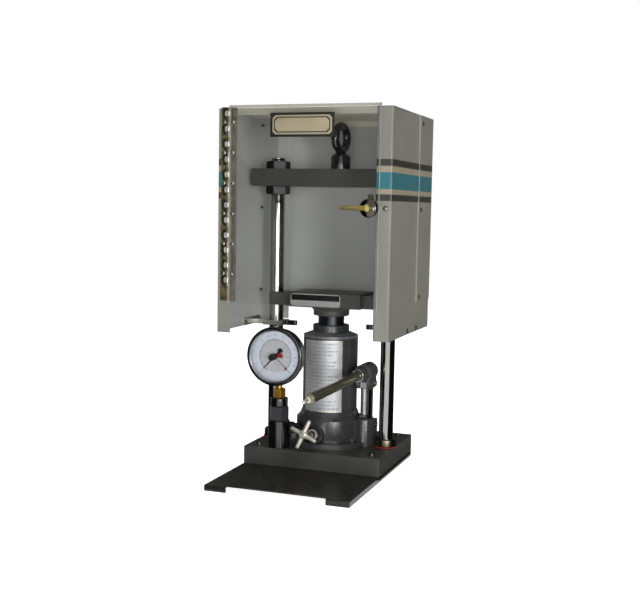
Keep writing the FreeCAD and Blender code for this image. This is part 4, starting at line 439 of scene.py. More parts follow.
class Shader:
    """A material with its principled shader and short ways to add and join nodes."""

    def __init__(self, name: str) -> None:
        """Makes the material with one shader in it.

        Args:
            name: The material's name.
        """
        self.material = bpy.data.materials.new(name)
        self.tree = cleared(self.material)
        self.surface = self.tree.nodes.new("ShaderNodeBsdfPrincipled")
        self.coordinates = self.tree.nodes.new("ShaderNodeTexCoord").outputs["Object"]
        show(self.tree, self.surface.outputs["BSDF"])

    def feed(self, name: str, source: Socket) -> None:
        """Joins a socket to one of the shader's own."""
        self.tree.links.new(source, self.surface.inputs[name])

    def set(self, **values: float | Sequence[float]) -> None:
        """Sets plain values on the shader's own sockets, named with underscores for spaces."""
        for name, value in values.items():
            self.surface.inputs[name.replace("_", " ")].default_value = value

    def group(self, tree: Tree, **values: float | Sequence[float]) -> bpy.types.NodeOutputs:
        """Places a node group on Object coordinates with its own values, and gives its outputs.

        Args:
            tree: The group's own nodes.
            values: Values of its inputs, named with underscores for spaces.

        Returns:
            The group's outputs.
        """
        node = self.tree.nodes.new("ShaderNodeGroup")
        node.node_tree = tree
        self.tree.links.new(self.coordinates, node.inputs["Vector"])
        for name, value in values.items():
            node.inputs[name.replace("_", " ")].default_value = value
        return node.outputs

    def blend(self, factor: Socket, below: Colour | Socket, above: Colour) -> Socket:
        """Lays a colour over another colour, or over the colours of a socket, by a mask.

        Args:
            factor: The mask, 1 where the upper colour shows.
            below: The colour beneath, or the socket that gives it.
            above: The upper colour.

        Returns:
            The socket of the mixed colour.
        """
        node = self.tree.nodes.new("ShaderNodeMix")
        node.data_type = "RGBA"
        node.inputs["B"].default_value = (*above, 1.0)
        self.tree.links.new(factor, node.inputs["Factor"])
        if isinstance(below, tuple):
            node.inputs["A"].default_value = (*below, 1.0)
        else:
            self.tree.links.new(below, node.inputs["A"])
        return node.outputs["Result"]

    def spread(self, mask: Socket, low: float, high: float) -> Socket:
        """Stretches a mask from 0 and 1 to two other values.

        Args:
            mask: A value from 0 to 1.
            low: What 0 becomes.
            high: What 1 becomes.

        Returns:
            The socket of the stretched value.
        """
        node = self.tree.nodes.new("ShaderNodeMapRange")
        node.inputs["To Min"].default_value = low
        node.inputs["To Max"].default_value = high
        self.tree.links.new(mask, node.inputs["Value"])
        return node.outputs["Result"]

    def bump(self, height: Socket, distance: float, rounding: float = 0.0, samples: int = 8) -> None:
        """Raises the surface by a height map, with its edges turned over a radius where one is given.

        Args:
            height: The height map.
            distance: How high its 1 stands, in metres.
            rounding: The radius of the turned edges, or 0 for none.
            samples: How finely the turned edges are worked out.
        """
        node = self.tree.nodes.new("ShaderNodeBump")
        node.inputs["Distance"].default_value = distance
        self.tree.links.new(height, node.inputs["Height"])
        if rounding > 0.0:
            edge = self.tree.nodes.new("ShaderNodeBevel")
            edge.samples = samples
            edge.inputs["Radius"].default_value = rounding
            self.tree.links.new(edge.outputs["Normal"], node.inputs["Normal"])
        self.feed("Normal", node.outputs["Normal"])


@dataclass
class GroupMaker:
    """Builds a shader node group. An input with no value takes a vector, and any other takes a number."""

    name: str
    inputs: dict[str, float | None]
    outputs: tuple[str, ...]

    def __post_init__(self) -> None:
        """Makes the group with its named inputs and outputs and nothing between them."""
        self.tree = bpy.data.node_groups.new(self.name, "ShaderNodeTree")
        for name, value in self.inputs.items():
            kind = "NodeSocketVector" if value is None else "NodeSocketFloat"
            socket = self.tree.interface.new_socket(name=name, in_out="INPUT", socket_type=kind)
            if value is not None:
                socket.default_value = value
        for name in self.outputs:
            self.tree.interface.new_socket(name=name, in_out="OUTPUT", socket_type="NodeSocketFloat")
        self.given = self.tree.nodes.new("NodeGroupInput").outputs
        self.wanted = self.tree.nodes.new("NodeGroupOutput").inputs

    def add(self, kind: str, *inputs: Socket | float, **settings: str | int | bool) -> bpy.types.NodeOutputs:
        """Adds a node with its settings, joins or sets its first inputs in order and gives its outputs.

        Args:
            kind: The kind of node.
            inputs: A socket to join or a number to set, for each input.
            settings: The node's own settings.

        Returns:
            The node's outputs.
        """
        node = self.tree.nodes.new(kind)
        for name, value in settings.items():
            setattr(node, name, value)
        for index, value in enumerate(inputs):
            if isinstance(value, float):
                node.inputs[index].default_value = value
            else:
                self.tree.links.new(value, node.inputs[index])
        return node.outputs

    def noise(self, scale: str, detail: float, stretch: Sequence[float] = (1.0, 1.0, 1.0)) -> Socket:
        """A noise on the group's vector, stretched along the axes, its scale set by a named input.

        Args:
            scale: The name of the input that sets the scale.
            detail: How many finer layers it has.
            stretch: How much faster it changes along each axis.

        Returns:
            The socket of the noise.
        """
        mapping = self.tree.nodes.new("ShaderNodeMapping")
        mapping.inputs["Scale"].default_value = stretch
        texture = self.tree.nodes.new("ShaderNodeTexNoise")
        texture.inputs["Detail"].default_value = detail
        self.tree.links.new(self.given["Vector"], mapping.inputs["Vector"])
        self.tree.links.new(mapping.outputs["Vector"], texture.inputs["Vector"])
        self.tree.links.new(self.given[scale], texture.inputs["Scale"])
        return texture.outputs["Fac"]

    def contrast(self, source: Socket, low: float, high: float) -> Socket:
        """Stretches the middle of a value to the whole of 0 to 1."""
        return self.add("ShaderNodeMapRange", source, low, high)["Result"]

    def maths(
        self, operation: str, first: Socket, second: Socket | float = 0.0, clamp: bool = False
    ) -> Socket:
        """One sum on two values."""
        return self.add("ShaderNodeMath", first, second, operation=operation, use_clamp=clamp)["Value"]

    def along(self, first: Socket, second: Socket) -> Socket:
        """How far one vector reaches along another: their dot product."""
        return self.add("ShaderNodeVectorMath", first, second, operation="DOT_PRODUCT")["Value"]

    def send(self, name: str, source: Socket) -> None:
        """Joins a socket to a named output."""
        self.tree.links.new(source, self.wanted[name])


def make_grain() -> Tree:
    """Paint's texture: a fine pebbled height, a slow patchy mask and a mask of specks.

    Returns:
        The node group.
    """
    inputs = {"Vector": None, "Fine Scale": 900.0, "Patch Scale": 14.0}
    group = GroupMaker("paint_grain", inputs, ("Height", "Patch", "Speck"))
    fine = group.noise("Fine Scale", detail=2.0)
    slow = group.noise("Patch Scale", detail=4.0)
    group.send("Height", group.contrast(fine, low=0.35, high=0.65))
    group.send("Patch", group.contrast(slow, low=0.32, high=0.68))
    group.send("Speck", group.contrast(fine, low=0.5, high=0.72))
    return group.tree


def make_brushing() -> Tree:
    """Fine scratches left by grinding: noise pulled out along one direction.

    Returns:
        The node group.
    """
    inputs = {"Vector": None, "Line Scale": 60.0, "Patch Scale": 12.0}
    group = GroupMaker("ground_lines", inputs, ("Height", "Patch"))
    lines = group.noise("Line Scale", detail=3.0, stretch=(1.0, 1.0, 24.0))
    slow = group.noise("Patch Scale", detail=3.0)
    group.send("Height", group.contrast(lines, low=0.3, high=0.7))
    group.send("Patch", group.contrast(slow, low=0.3, high=0.7))
    return group.tree


def make_edge_wear() -> Tree:
    """A mask on outside edges, broken up by noise, where paint rubs thin.

    Returns:
        The node group.
    """
    inputs = {"Vector": None, "Radius": 0.0012, "Scale": 90.0, "Amount": 0.5}
    group = GroupMaker("edge_wear", inputs, ("Mask",))
    rounded = group.add("ShaderNodeBevel", group.given["Radius"], samples=4)["Normal"]
    bend = group.along(rounded, group.add("ShaderNodeNewGeometry")["Normal"])
    edge = group.contrast(bend, low=0.995, high=0.86)
    broken = group.contrast(group.noise("Scale", detail=3.0), low=0.42, high=0.6)
    rubbed = group.maths("MULTIPLY", edge, broken)
    group.send("Mask", group.maths("MULTIPLY", rubbed, group.given["Amount"], clamp=True))
    return group.tree


def make_outside() -> Tree:
    """The guard's outer faces: 1 where a face looks away from the guard's middle, 0 where it looks in.

    Returns:
        The node group.
    """
    group = GroupMaker("guard_outside", {"Vector": None, "Middle": None}, ("Mask",))
    place, middle = group.given["Vector"], group.given["Middle"]
    away = group.add("ShaderNodeVectorMath", place, middle, operation="SUBTRACT")
    facing = group.along(away["Vector"], group.add("ShaderNodeNewGeometry")["True Normal"])
    group.send("Mask", group.maths("GREATER_THAN", facing, 0.0))
    return group.tree


def make_band() -> Tree:
    """One band round the guard: 1 between two heights, past a side or in front of the front, 0 elsewhere.

    Returns:
        The node group.
    """
    inputs = {"Vector": None, "Bottom": 0.0, "Top": 0.0, "Side": 0.0, "Front": 0.0}
    group = GroupMaker("guard_band", inputs, ("Mask",))
    place = group.add("ShaderNodeSeparateXYZ", group.given["Vector"])
    above = group.maths("GREATER_THAN", place["Z"], group.given["Bottom"])
    below = group.maths("LESS_THAN", place["Z"], group.given["Top"])
    side = group.maths("GREATER_THAN", group.maths("ABSOLUTE", place["X"]), group.given["Side"])
    front = group.maths("LESS_THAN", place["Y"], group.given["Front"])
    between = group.maths("MULTIPLY", above, below)
    group.send("Mask", group.maths("MULTIPLY", between, group.maths("MAXIMUM", side, front)))
    return group.tree


@dataclass
class Effects:
    """The node groups that several finishes share."""

    grain: Tree = field(default_factory=make_grain)
    brushing: Tree = field(default_factory=make_brushing)
    wear: Tree = field(default_factory=make_edge_wear)
    band: Tree = field(default_factory=make_band)
    outside: Tree = field(default_factory=make_outside)


# Finishes


@dataclass(frozen=True)
class Finish:
    """What every finish has: two close tones, in patches, and a least and greatest roughness."""

    light: Colour
    dark: Colour
    roughness: tuple[float, float]

    def build(self, name: str, effects: Effects) -> bpy.types.Material:
        """Makes the material.

        Args:
            name: The material's name.
            effects: The shared node groups.

        Returns:
            The material.
        """
        shader = Shader(name)
        self.dress(shader, effects)
        return shader.material

    def dress(self, shader: Shader, effects: Effects) -> None:
        """Joins the finish's own nodes, which each kind of finish says for itself."""
        raise NotImplementedError


@dataclass(frozen=True)
class Paint(Finish):
    """A sprayed finish: a pebbled surface under its patches and edges rubbed thin."""

    pebble: float = 0.00004
    fine: float = 900.0
    patch: float = 14.0
    wear: float = 0.5
    worn: Colour = (0.3, 0.3, 0.29)
    coat: float = 0.0
    coat_roughness: float = 0.15
    shine: float = 0.5
    rounding: float = 0.0

    def dress(self, shader: Shader, effects: Effects) -> None:
        """Lays on the patches, the worn edges, whatever decorates them and the pebbled height.

        Args:
            shader: The material that is being made.
            effects: The shared node groups.
        """
        grain = shader.group(effects.grain, Fine_Scale=self.fine, Patch_Scale=self.patch)
        rubbed = shader.group(effects.wear, Amount=self.wear)["Mask"]
        colour = shader.blend(rubbed, shader.blend(grain["Patch"], self.dark, self.light), self.worn)
        shader.feed("Base Color", self.decorate(shader, effects, colour))
        shader.feed("Roughness", shader.spread(grain["Patch"], *self.roughness))
        shader.bump(grain["Height"], self.pebble, self.rounding)
        shader.set(Coat_Weight=self.coat, Coat_Roughness=self.coat_roughness, Specular_IOR_Level=self.shine)

    def decorate(self, shader: Shader, effects: Effects, colour: Socket) -> Socket:
        """Adds nothing to plain paint."""
        return colour


@dataclass(frozen=True)
class GuardPaint(Paint):
    """The guard's paint: a lighter tone inside, painted light for the brighter-lit inside of the guard, and
    with bands outside, each a bottom, a top and a colour.

    A band shows only past the side and in front of the front, two planes just inside the outer faces.
    """

    bands: tuple[tuple[float, float, Colour], ...] = ()
    # The inner tone is painted light: a lighter copy of the paint for the brighter-lit inside faces.
    inner: Colour = WHITE
    inner_share: float = 0.9
    side: float = 0.1894
    front: float = -0.1954

    def decorate(self, shader: Shader, effects: Effects, colour: Socket) -> Socket:
        """Lays the lighter inside tone, painted light for the brighter-lit inside, on the inside faces, then
        each band over the outer ones.

        Args:
            shader: The material that is being made.
            effects: The shared node groups.
            colour: The paint's colour so far.

        Returns:
            The socket of the decorated colour.
        """
        low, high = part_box("guard_rear_cover")
        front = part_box("guard_top")[0].y
        middle = ((low.x + high.x) / 2, (front + high.y) / 2, (low.z + high.z) / 2)
        outside = shader.group(effects.outside, Middle=middle)["Mask"]
        # Painted light: the inside faces take the lighter inner tone.
        colour = shader.blend(shader.spread(outside, self.inner_share, 0.0), colour, self.inner)
        for bottom, top, tint in self.bands:
            band = shader.group(effects.band, Bottom=bottom, Top=top, Side=self.side, Front=self.front)
            colour = shader.blend(band["Mask"], colour, tint)
        return colour


@dataclass(frozen=True)
class Metal(Finish):
    """Bare or plated metal: ground lines, slow stains and varying gloss."""

    lines: float = 60.0
    depth: float = 0.00001
    metallic: float = 1.0
    patch: float = 12.0

    def dress(self, shader: Shader, effects: Effects) -> None:
        """Lays on the stains, the gloss and the ground lines.

        Args:
            shader: The material that is being made.
            effects: The shared node groups.
        """
        ground = shader.group(effects.brushing, Line_Scale=self.lines, Patch_Scale=self.patch)
        shader.feed("Base Color", shader.blend(ground["Patch"], self.dark, self.light))
        shader.feed("Roughness", shader.spread(ground["Patch"], *self.roughness))
        shader.bump(ground["Height"], self.depth)
        shader.set(Metallic=self.metallic)


@dataclass(frozen=True)
class Moulding(Finish):
    """Plastic, rubber or fibre: a solid colour with a soft mottle and a fine skin."""

    fine: float = 1400.0
    patch: float = 40.0
    skin: float = 0.00002
    coat: float = 0.0

    def dress(self, shader: Shader, effects: Effects) -> None:
        """Lays on the mottle, the specks of gloss and the skin.

        Args:
            shader: The material that is being made.
            effects: The shared node groups.
        """
        grain = shader.group(effects.grain, Fine_Scale=self.fine, Patch_Scale=self.patch)
        shader.feed("Base Color", shader.blend(grain["Patch"], self.dark, self.light))
        shader.feed("Roughness", shader.spread(grain["Speck"], *self.roughness))
        shader.bump(grain["Height"], self.skin)
        shader.set(Coat_Weight=self.coat)


@dataclass(frozen=True)
class Clear:
    """Clear sheet or glass: light goes through, the surface keeps a faint haze of fine scratches."""

    tint: Colour
    roughness: tuple[float, float]
    index: float = 1.5
    alpha: float = 0.1
    fine: float = 400.0
    patch: float = 9.0

    def build(self, name: str, effects: Effects) -> bpy.types.Material:
        """Makes the material.

        Args:
            name: The material's name.
            effects: The shared node groups.

        Returns:
            The material.
        """
        shader = Shader(name)
        grain = shader.group(effects.grain, Fine_Scale=self.fine, Patch_Scale=self.patch)
        shader.feed("Roughness", shader.spread(grain["Patch"], *self.roughness))
        shader.set(Base_Color=(*self.tint, 1.0), IOR=self.index, Alpha=self.alpha)
        return shader.material


BAND_DARK = srgb(52, 50, 45)
BAND_CREAM = srgb(156, 146, 122)
BAND_TEAL = srgb(44, 112, 122)
GUARD_WORN = srgb(176, 175, 170)
ACRYLIC = 1.49

GUARD_BANDS = (
    (0.6620, 0.6755, BAND_DARK),
    (0.6500, 0.6610, BAND_CREAM),
    (0.6160, 0.6490, BAND_TEAL),
    (0.6068, 0.6150, BAND_CREAM),
    (0.5924, 0.6052, BAND_DARK),
)

FINISHES: dict[Slot | Look, Finish | Clear] = {
    Slot.BLACK_PAINT: Paint(srgb(38, 37, 32), srgb(31, 31, 27), (0.24, 0.3), wear=0.1, shine=0.3),
    Slot.GREY_PAINT: Paint(srgb(72, 72, 69), srgb(62, 62, 60), (0.35, 0.5), wear=0.35, shine=0.3),
    Slot.JACK_PAINT: Paint(srgb(66, 66, 66), srgb(55, 55, 56), (0.22, 0.32), fine=700.0, wear=0.4),
    # The guard's inner tone is a lighter copy of its paint: painted light for the brighter-lit inside.
    Slot.GUARD_PAINT: GuardPaint(
        srgb(136, 135, 127), srgb(128, 127, 119), (0.31, 0.34), pebble=0.00006, fine=480.0, wear=0.3,
        worn=GUARD_WORN, rounding=0.006, bands=GUARD_BANDS, inner=srgb(188, 190, 188),
    ),
    Slot.HANDLE_PAINT: Metal(
        srgb(128, 124, 104), srgb(116, 112, 94), (0.2, 0.28), depth=0.000003, metallic=0.85
    ),
    Slot.PLATED_STEEL: Metal(srgb(190, 188, 180), srgb(150, 148, 142), (0.25, 0.42)),
    Slot.BARE_STEEL: Metal(srgb(178, 178, 176), srgb(140, 140, 138), (0.22, 0.36)),
    Slot.HINGE_STEEL: Metal(srgb(142, 139, 122), srgb(116, 113, 98), (0.3, 0.45), metallic=0.5, patch=60.0),
    Slot.BLACK_STEEL: Paint(
        srgb(12, 12, 13), srgb(8, 8, 9), (0.14, 0.22), fine=1200.0, pebble=0.00001, wear=0.2, coat=0.5
    ),
    Slot.CHROMED_STEEL: Metal(srgb(154, 154, 150), srgb(140, 140, 136), (0.07, 0.13), depth=0.000003),
    Slot.RAM_STEEL: Metal(srgb(60, 63, 65), srgb(46, 49, 51), (0.3, 0.42), depth=0.000004),
    Slot.CAST_HANDLE: Metal(srgb(222, 218, 206), srgb(196, 191, 178), (0.4, 0.55), metallic=0.7, patch=60.0),
    Slot.RED_FIBRE: Moulding(srgb(196, 62, 38), srgb(160, 44, 30), (0.55, 0.75)),
    Slot.SEAL_RUBBER: Moulding(srgb(34, 34, 34), srgb(24, 24, 24), (0.6, 0.8)),
    Slot.GAUGE_BRASS: Metal(srgb(226, 184, 74), srgb(196, 148, 46), (0.22, 0.36), metallic=0.85),
    Slot.GAUGE_BLACK: Moulding(srgb(18, 18, 19), srgb(15, 15, 16), (0.2, 0.3), coat=0.5),
    Slot.GAUGE_GLASS: Clear(srgb(40, 44, 48), (0.02, 0.06), alpha=0.03),
    Slot.DIAL_WHITE: Moulding(srgb(212, 218, 228), srgb(202, 209, 220), (0.4, 0.55)),
    Slot.POINTER_BLACK: Moulding(srgb(13, 13, 14), srgb(8, 8, 9), (0.4, 0.55)),
    Slot.SET_HAND_RED: Moulding(srgb(164, 24, 18), srgb(132, 16, 12), (0.3, 0.45)),
    Slot.CLEAR_PLASTIC: Clear(srgb(40, 42, 42), (0.03, 0.09), index=ACRYLIC, alpha=0.035),
    Slot.PLATE_METAL: Metal(srgb(180, 170, 142), srgb(160, 151, 124), (0.3, 0.42), metallic=0.3),
    Look.DARK_NUT: Metal(srgb(46, 46, 46), srgb(34, 34, 34), (0.3, 0.42)),
    Look.DARK_SCREW: Metal(srgb(120, 118, 110), srgb(90, 88, 82), (0.3, 0.42)),
    Look.COLLAR_STEEL: Metal(srgb(124, 116, 98), srgb(84, 78, 64), (0.2, 0.34)),
    Look.LABEL_SILVER: Metal(srgb(192, 193, 194), srgb(166, 168, 170), (0.36, 0.52), metallic=0.4),
    Look.LABEL_PRINT: Moulding(srgb(160, 163, 165), srgb(126, 129, 132), (0.4, 0.55)),
    Look.PLATE_SILVER: Metal(srgb(176, 177, 172), srgb(152, 153, 148), (0.35, 0.5), metallic=0.5),
    # The fixed leaf's darker, patchier copy of the hinge steel: partly the leaf's own brown tone, partly
    # painted shade for the dark reflections on it.
    Look.DARK_HINGE: Metal(srgb(128, 118, 86), srgb(66, 58, 36), (0.34, 0.48), metallic=0.5, patch=110.0),
    Look.DARK_CHROME: Metal(srgb(84, 82, 74), srgb(52, 50, 44), (0.08, 0.18), depth=0.000003),
    Look.LEVER_BRASS: Metal(srgb(178, 164, 98), srgb(140, 128, 74), (0.22, 0.36), metallic=0.8),
    Look.DIAL_GREY: Moulding(srgb(194, 196, 200), srgb(182, 184, 189), (0.4, 0.55)),
    Look.DIAL_PRINT: Moulding(srgb(104, 107, 114), srgb(90, 93, 100), (0.4, 0.55)),
    Look.DIAL_ARC: Moulding(srgb(160, 162, 167), srgb(150, 152, 157), (0.4, 0.55)),
    Look.BEZEL_SLOPE: Metal(srgb(132, 133, 135), srgb(104, 105, 108), (0.25, 0.4), metallic=0.7),
    Look.GREY_ROD: Metal(srgb(158, 159, 158), srgb(132, 133, 132), (0.3, 0.42), metallic=0.8),
    Look.GREY_FITTING: Paint(srgb(62, 62, 64), srgb(50, 50, 52), (0.25, 0.36), fine=1200.0, wear=0.4),
    # The cap's paint is a lighter copy of the jack's: painted sheen on the cap.
    Look.CAP_PAINT: Paint(srgb(112, 114, 116), srgb(98, 100, 102), (0.24, 0.34), fine=700.0, wear=0.4),
    # Painted highlights on the hinge's knuckles and leaf.
    Look.KNUCKLE_WEAR: Metal(
        srgb(216, 214, 206), srgb(178, 175, 164), (0.3, 0.42), metallic=0.5, patch=90.0
    ),
    # Painted shadows beside the hinge's highlights.
    Look.LEAF_STAIN: Metal(srgb(40, 35, 24), srgb(24, 21, 15), (0.4, 0.55), metallic=0.3, patch=110.0),
    # Painted highlights along the clear door's edges and top.
    Look.SHEET_EDGE: Clear(srgb(196, 200, 196), (0.2, 0.35), index=ACRYLIC, alpha=0.6),
    Look.SHEET_TOP: Clear(srgb(160, 158, 144), (0.2, 0.35), index=ACRYLIC, alpha=0.85),
    # A lighter copy of the guard paint: painted highlight on the rear cover's front edges.
    Look.COVER_EDGE: Paint(srgb(178, 177, 168), srgb(164, 163, 155), (0.35, 0.5), wear=0.0),
    # The roof's paint is a lighter copy of the guard's, lighter still inside: painted light for the bright
    # roof lip and underside.
    Look.ROOF_PAINT: GuardPaint(
        srgb(160, 157, 143), srgb(152, 149, 135), (0.31, 0.34), pebble=0.00006, fine=480.0, wear=0.2,
        worn=GUARD_WORN, inner=srgb(232, 225, 204),
    ),
}

NODE_LOOKS = {
    "crosshead_nuts": Look.DARK_NUT,
    "column_collars": Look.COLLAR_STEEL,
    "guard_screws": Look.DARK_SCREW,
    "base_screws": Look.DARK_SCREW,
    "hinge_fixed_leaf": Look.DARK_HINGE,
    "latch_plate": Look.DARK_CHROME,
    "latch_lever": Look.LEVER_BRASS,
    "latch_pawl": Look.DARK_CHROME,
    "pump_plunger": Look.GREY_ROD,
    "gauge_snubber": Look.GREY_FITTING,
    "jack_cap": Look.CAP_PAINT,
    "guard_top": Look.ROOF_PAINT,
}


# Pieces


def merged(mesh: bpy.types.Mesh, outwards: bool) -> bpy.types.Mesh:
    """Merges a mesh's doubled corners.

    Args:
        mesh: The mesh, which is changed.
        outwards: Whether its faces are then turned outwards, or else its triangles joined into flat faces.

    Returns:
        The same mesh.
    """
    work = bmesh.new()
    work.from_mesh(mesh)
    bmesh.ops.remove_doubles(work, verts=work.verts, dist=MERGE)
    if outwards:
        bmesh.ops.recalc_face_normals(work, faces=work.faces)
    else:
        flat = math.radians(FLAT_ANGLE)
        bmesh.ops.dissolve_limit(work, angle_limit=flat, verts=work.verts, edges=work.edges)
    work.to_mesh(mesh)
    work.free()
    return mesh


class Workshop:
    """Makes pieces, gives them their finish and sets each one on its body."""

    def __init__(self) -> None:
        """Builds the shared effects and every finish."""
        effects = Effects()
        record = frame["record"]
        self.materials = {look: finish.build(name_of(look), effects) for look, finish in FINISHES.items()}
        self.slots = {part["node"]: Slot(part["material_slot"]) for part in record["subparts"]}
        self.owner = {node: body for body, nodes in record["behaviour"]["bodies"].items() for node in nodes}

    def dress_nodes(self) -> None:
        """Gives every carried-over node the finish of its slot."""
        for name, item in frame["nodes"].items():
            item.data.materials.clear()
            item.data.materials.append(self.materials[self.slots[name]])

    def piece(
        self,
        name: str,
        shape: Shape,
        look: Slot | Look,
        body: str,
        replaces: Sequence[str] = (),
        crease: float = CREASE,
    ) -> None:
        """Adds one worked-out piece.

        Args:
            name: The piece's name.
            shape: Its vertices and faces.
            look: Its finish.
            body: The body that it rides on.
            replaces: The nodes that it stands for.
            crease: The angle in degrees past which an edge stays sharp.
        """
        vertices, faces = shape
        mesh = bpy.data.meshes.new(name)
        mesh.from_pydata(vertices.tolist(), [], faces)
        self.settle(name, merged(mesh, outwards=True), look, body, replaces, crease)

    def refined(self, node: str, bevel: float) -> None:
        """Stands a copy in for a node: its triangles merged, its round faces smooth and its edges eased.

        Args:
            node: The node it copies and stands for.
            bevel: The width of the eased edge, or 0 for none.
        """
        mesh = merged(frame["nodes"][node].data.copy(), outwards=False)
        look = NODE_LOOKS.get(node, self.slots[node])
        item = self.settle(f"{node}_finished", mesh, look, self.owner[node], [node])
        if bevel > 0.0:
            easing = item.modifiers.new("eased_edges", "BEVEL")
            easing.width = bevel
            easing.segments = 2
            easing.limit_method = "ANGLE"
            easing.angle_limit = math.radians(CREASE)
            easing.harden_normals = True
        else:
            level = item.modifiers.new("level_faces", "WEIGHTED_NORMAL")
            level.keep_sharp = True
            level.weight = 80

    def settle(
        self,
        name: str,
        mesh: bpy.types.Mesh,
        look: Slot | Look,
        body: str,
        replaces: Sequence[str],
        crease: float = CREASE,
    ) -> bpy.types.Object:
        """Shades a mesh, gives it its finish and sets it on its body.

        Args:
            name: The piece's name.
            mesh: Its cleaned mesh.
            look: Its finish.
            body: The body that it rides on.
            replaces: The nodes that it stands for.
            crease: The angle in degrees past which an edge stays sharp.

        Returns:
            The new object.
        """
        mesh.shade_smooth()
        mesh.set_sharp_from_angle(angle=math.radians(crease))
        mesh.materials.clear()
        mesh.materials.append(self.materials[look])
        item = bpy.data.objects.new(name, mesh)
        bpy.context.scene.collection.objects.link(item)
        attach(item, body)
        if replaces:
            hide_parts(*replaces)
        log.info("made %s on %s", name, body)
        return item


# The studio


def stage_mesh(name: str, vertices: Sequence, faces: list) -> tuple[bpy.types.Object, Tree]:
    """Adds a surface that belongs to the studio.

    Args:
        name: The surface's name, which its material takes too.
        vertices: Its points.
        faces: Its faces.

    Returns:
        The object and the empty nodes of its material.
    """
    mesh = bpy.data.meshes.new(name)
    mesh.from_pydata(vertices, [], faces)
    material = bpy.data.materials.new(name)
    mesh.materials.append(material)
    item = bpy.data.objects.new(name, mesh)
    bpy.context.scene.collection.objects.link(item)
    return item, cleared(material)


def glow(tree: Tree, colour: Colour, strength: float = 1.0, kind: str = "ShaderNodeEmission") -> Socket:
    """An even light, as a shader.

    Args:
        tree: The nodes that it joins.
        colour: The light's colour.
        strength: Its strength, where 1 is white.
        kind: The kind of node that gives it.

    Returns:
        The shader's socket.
    """
    node = tree.nodes.new(kind)
    node.inputs["Color"].default_value = (*colour, 1.0)
    node.inputs["Strength"].default_value = strength
    return node.outputs[0]


def by_ray(tree: Tree, plain: Socket, seen: Socket) -> Socket:
    """One shader for plain light, another for what is seen straight, in a mirror or through glass.

    Args:
        tree: The nodes that it joins.
        plain: The shader for plain light.
        seen: The shader for what is seen.

    Returns:
        The chosen shader's socket.
    """
    path = tree.nodes.new("ShaderNodeLightPath").outputs
    ray = path["Is Camera Ray"]
    for kind in ("Is Glossy Ray", "Is Transmission Ray"):
        either = tree.nodes.new("ShaderNodeMath")
        either.operation = "MAXIMUM"
        tree.links.new(ray, either.inputs[0])
        tree.links.new(path[kind], either.inputs[1])
        ray = either.outputs["Value"]
    mix = tree.nodes.new("ShaderNodeMixShader")
    for index, source in enumerate((ray, plain, seen)):
        tree.links.new(source, mix.inputs[index])
    return mix.outputs["Shader"]


@dataclass(frozen=True)
class Card:
    """A curved card beside the object, seen only in reflections, that gives bright metal its dark edges.

    Its section runs outwards along the floor and then up. It is carried round the Z axis from a start to an
    end, in degrees from the camera's direction, positive to the camera's right.
    """

    name: str
    start: float
    end: float
    shade: Colour
    radii: tuple[float, ...] = (0.1, 1.2, 1.2)
    heights: tuple[float, ...] = (0.004, 0.004, 2.4)
    steps: int = 24

    def build(self, yaw: float) -> None:
        """Makes the card, its angles turned by the camera's, and hides it from all but reflections.

        Args:
            yaw: The camera's own angle, in degrees.
        """
        angle = np.radians(np.linspace(self.start, self.end, self.steps) + yaw) - QUARTER_TURN
        points = swept(np.array(self.radii), np.array(self.heights), angle).reshape(-1, 3)
        faces = grid_faces(len(self.radii), self.steps, whole=False)
        card, tree = stage_mesh(self.name, points.tolist(), faces)
        show(tree, glow(tree, self.shade))
        card.visible_camera = False
        card.visible_diffuse = False
        card.visible_transmission = False
        card.visible_shadow = False


@dataclass(frozen=True)
class Lamp:
    """A rectangular lamp that faces the object, and whether it shows in reflections."""

    name: str
    at: tuple[float, float, float]
    size: tuple[float, float]
    watts: float
    shines: bool = False
    aim: tuple[float, float, float] = (0.0, 0.0, 0.4)

    def build(self) -> None:
        """Makes the lamp."""
        lamp = bpy.data.lights.new(self.name, "AREA")
        lamp.shape = "RECTANGLE"
        lamp.size, lamp.size_y = self.size
        lamp.energy = self.watts
        item = bpy.data.objects.new(self.name, lamp)
        item.location = self.at
        item.rotation_euler = (Vector(self.aim) - Vector(self.at)).to_track_quat("-Z", "Y").to_euler()
        item.visible_glossy = self.shines
        bpy.context.scene.collection.objects.link(item)


CARDS = (
    Card("left_card", -126.0, -34.0, (0.008, 0.008, 0.008)),
    Card("left_rear_card", -160.0, -126.0, (0.25, 0.25, 0.25)),
    Card("rear_card", -200.0, -160.0, (0.05, 0.05, 0.05)),
    Card("right_card", 33.0, 124.0, (0.008, 0.008, 0.008)),
    Card("right_rear_card", 124.0, 160.0, (0.1, 0.094, 0.08)),
)
LAMPS = (
    Lamp("key_lamp", (2.75, -3.7, 0.45), (0.7, 1.6), 88.0, shines=True),
    Lamp("fill_lamp", (1.15, -4.4, 0.25), (1.1, 1.0), 46.0, shines=True),
    Lamp("left_lamp", (-2.3, -0.7, 1.0), (1.4, 1.4), 9.0),
    Lamp("back_lamp", (0.6, 2.6, 0.7), (1.6, 1.2), 34.0),
    Lamp("top_lamp", (-0.2, -0.3, 2.6), (1.4, 1.4), 36.0),
)


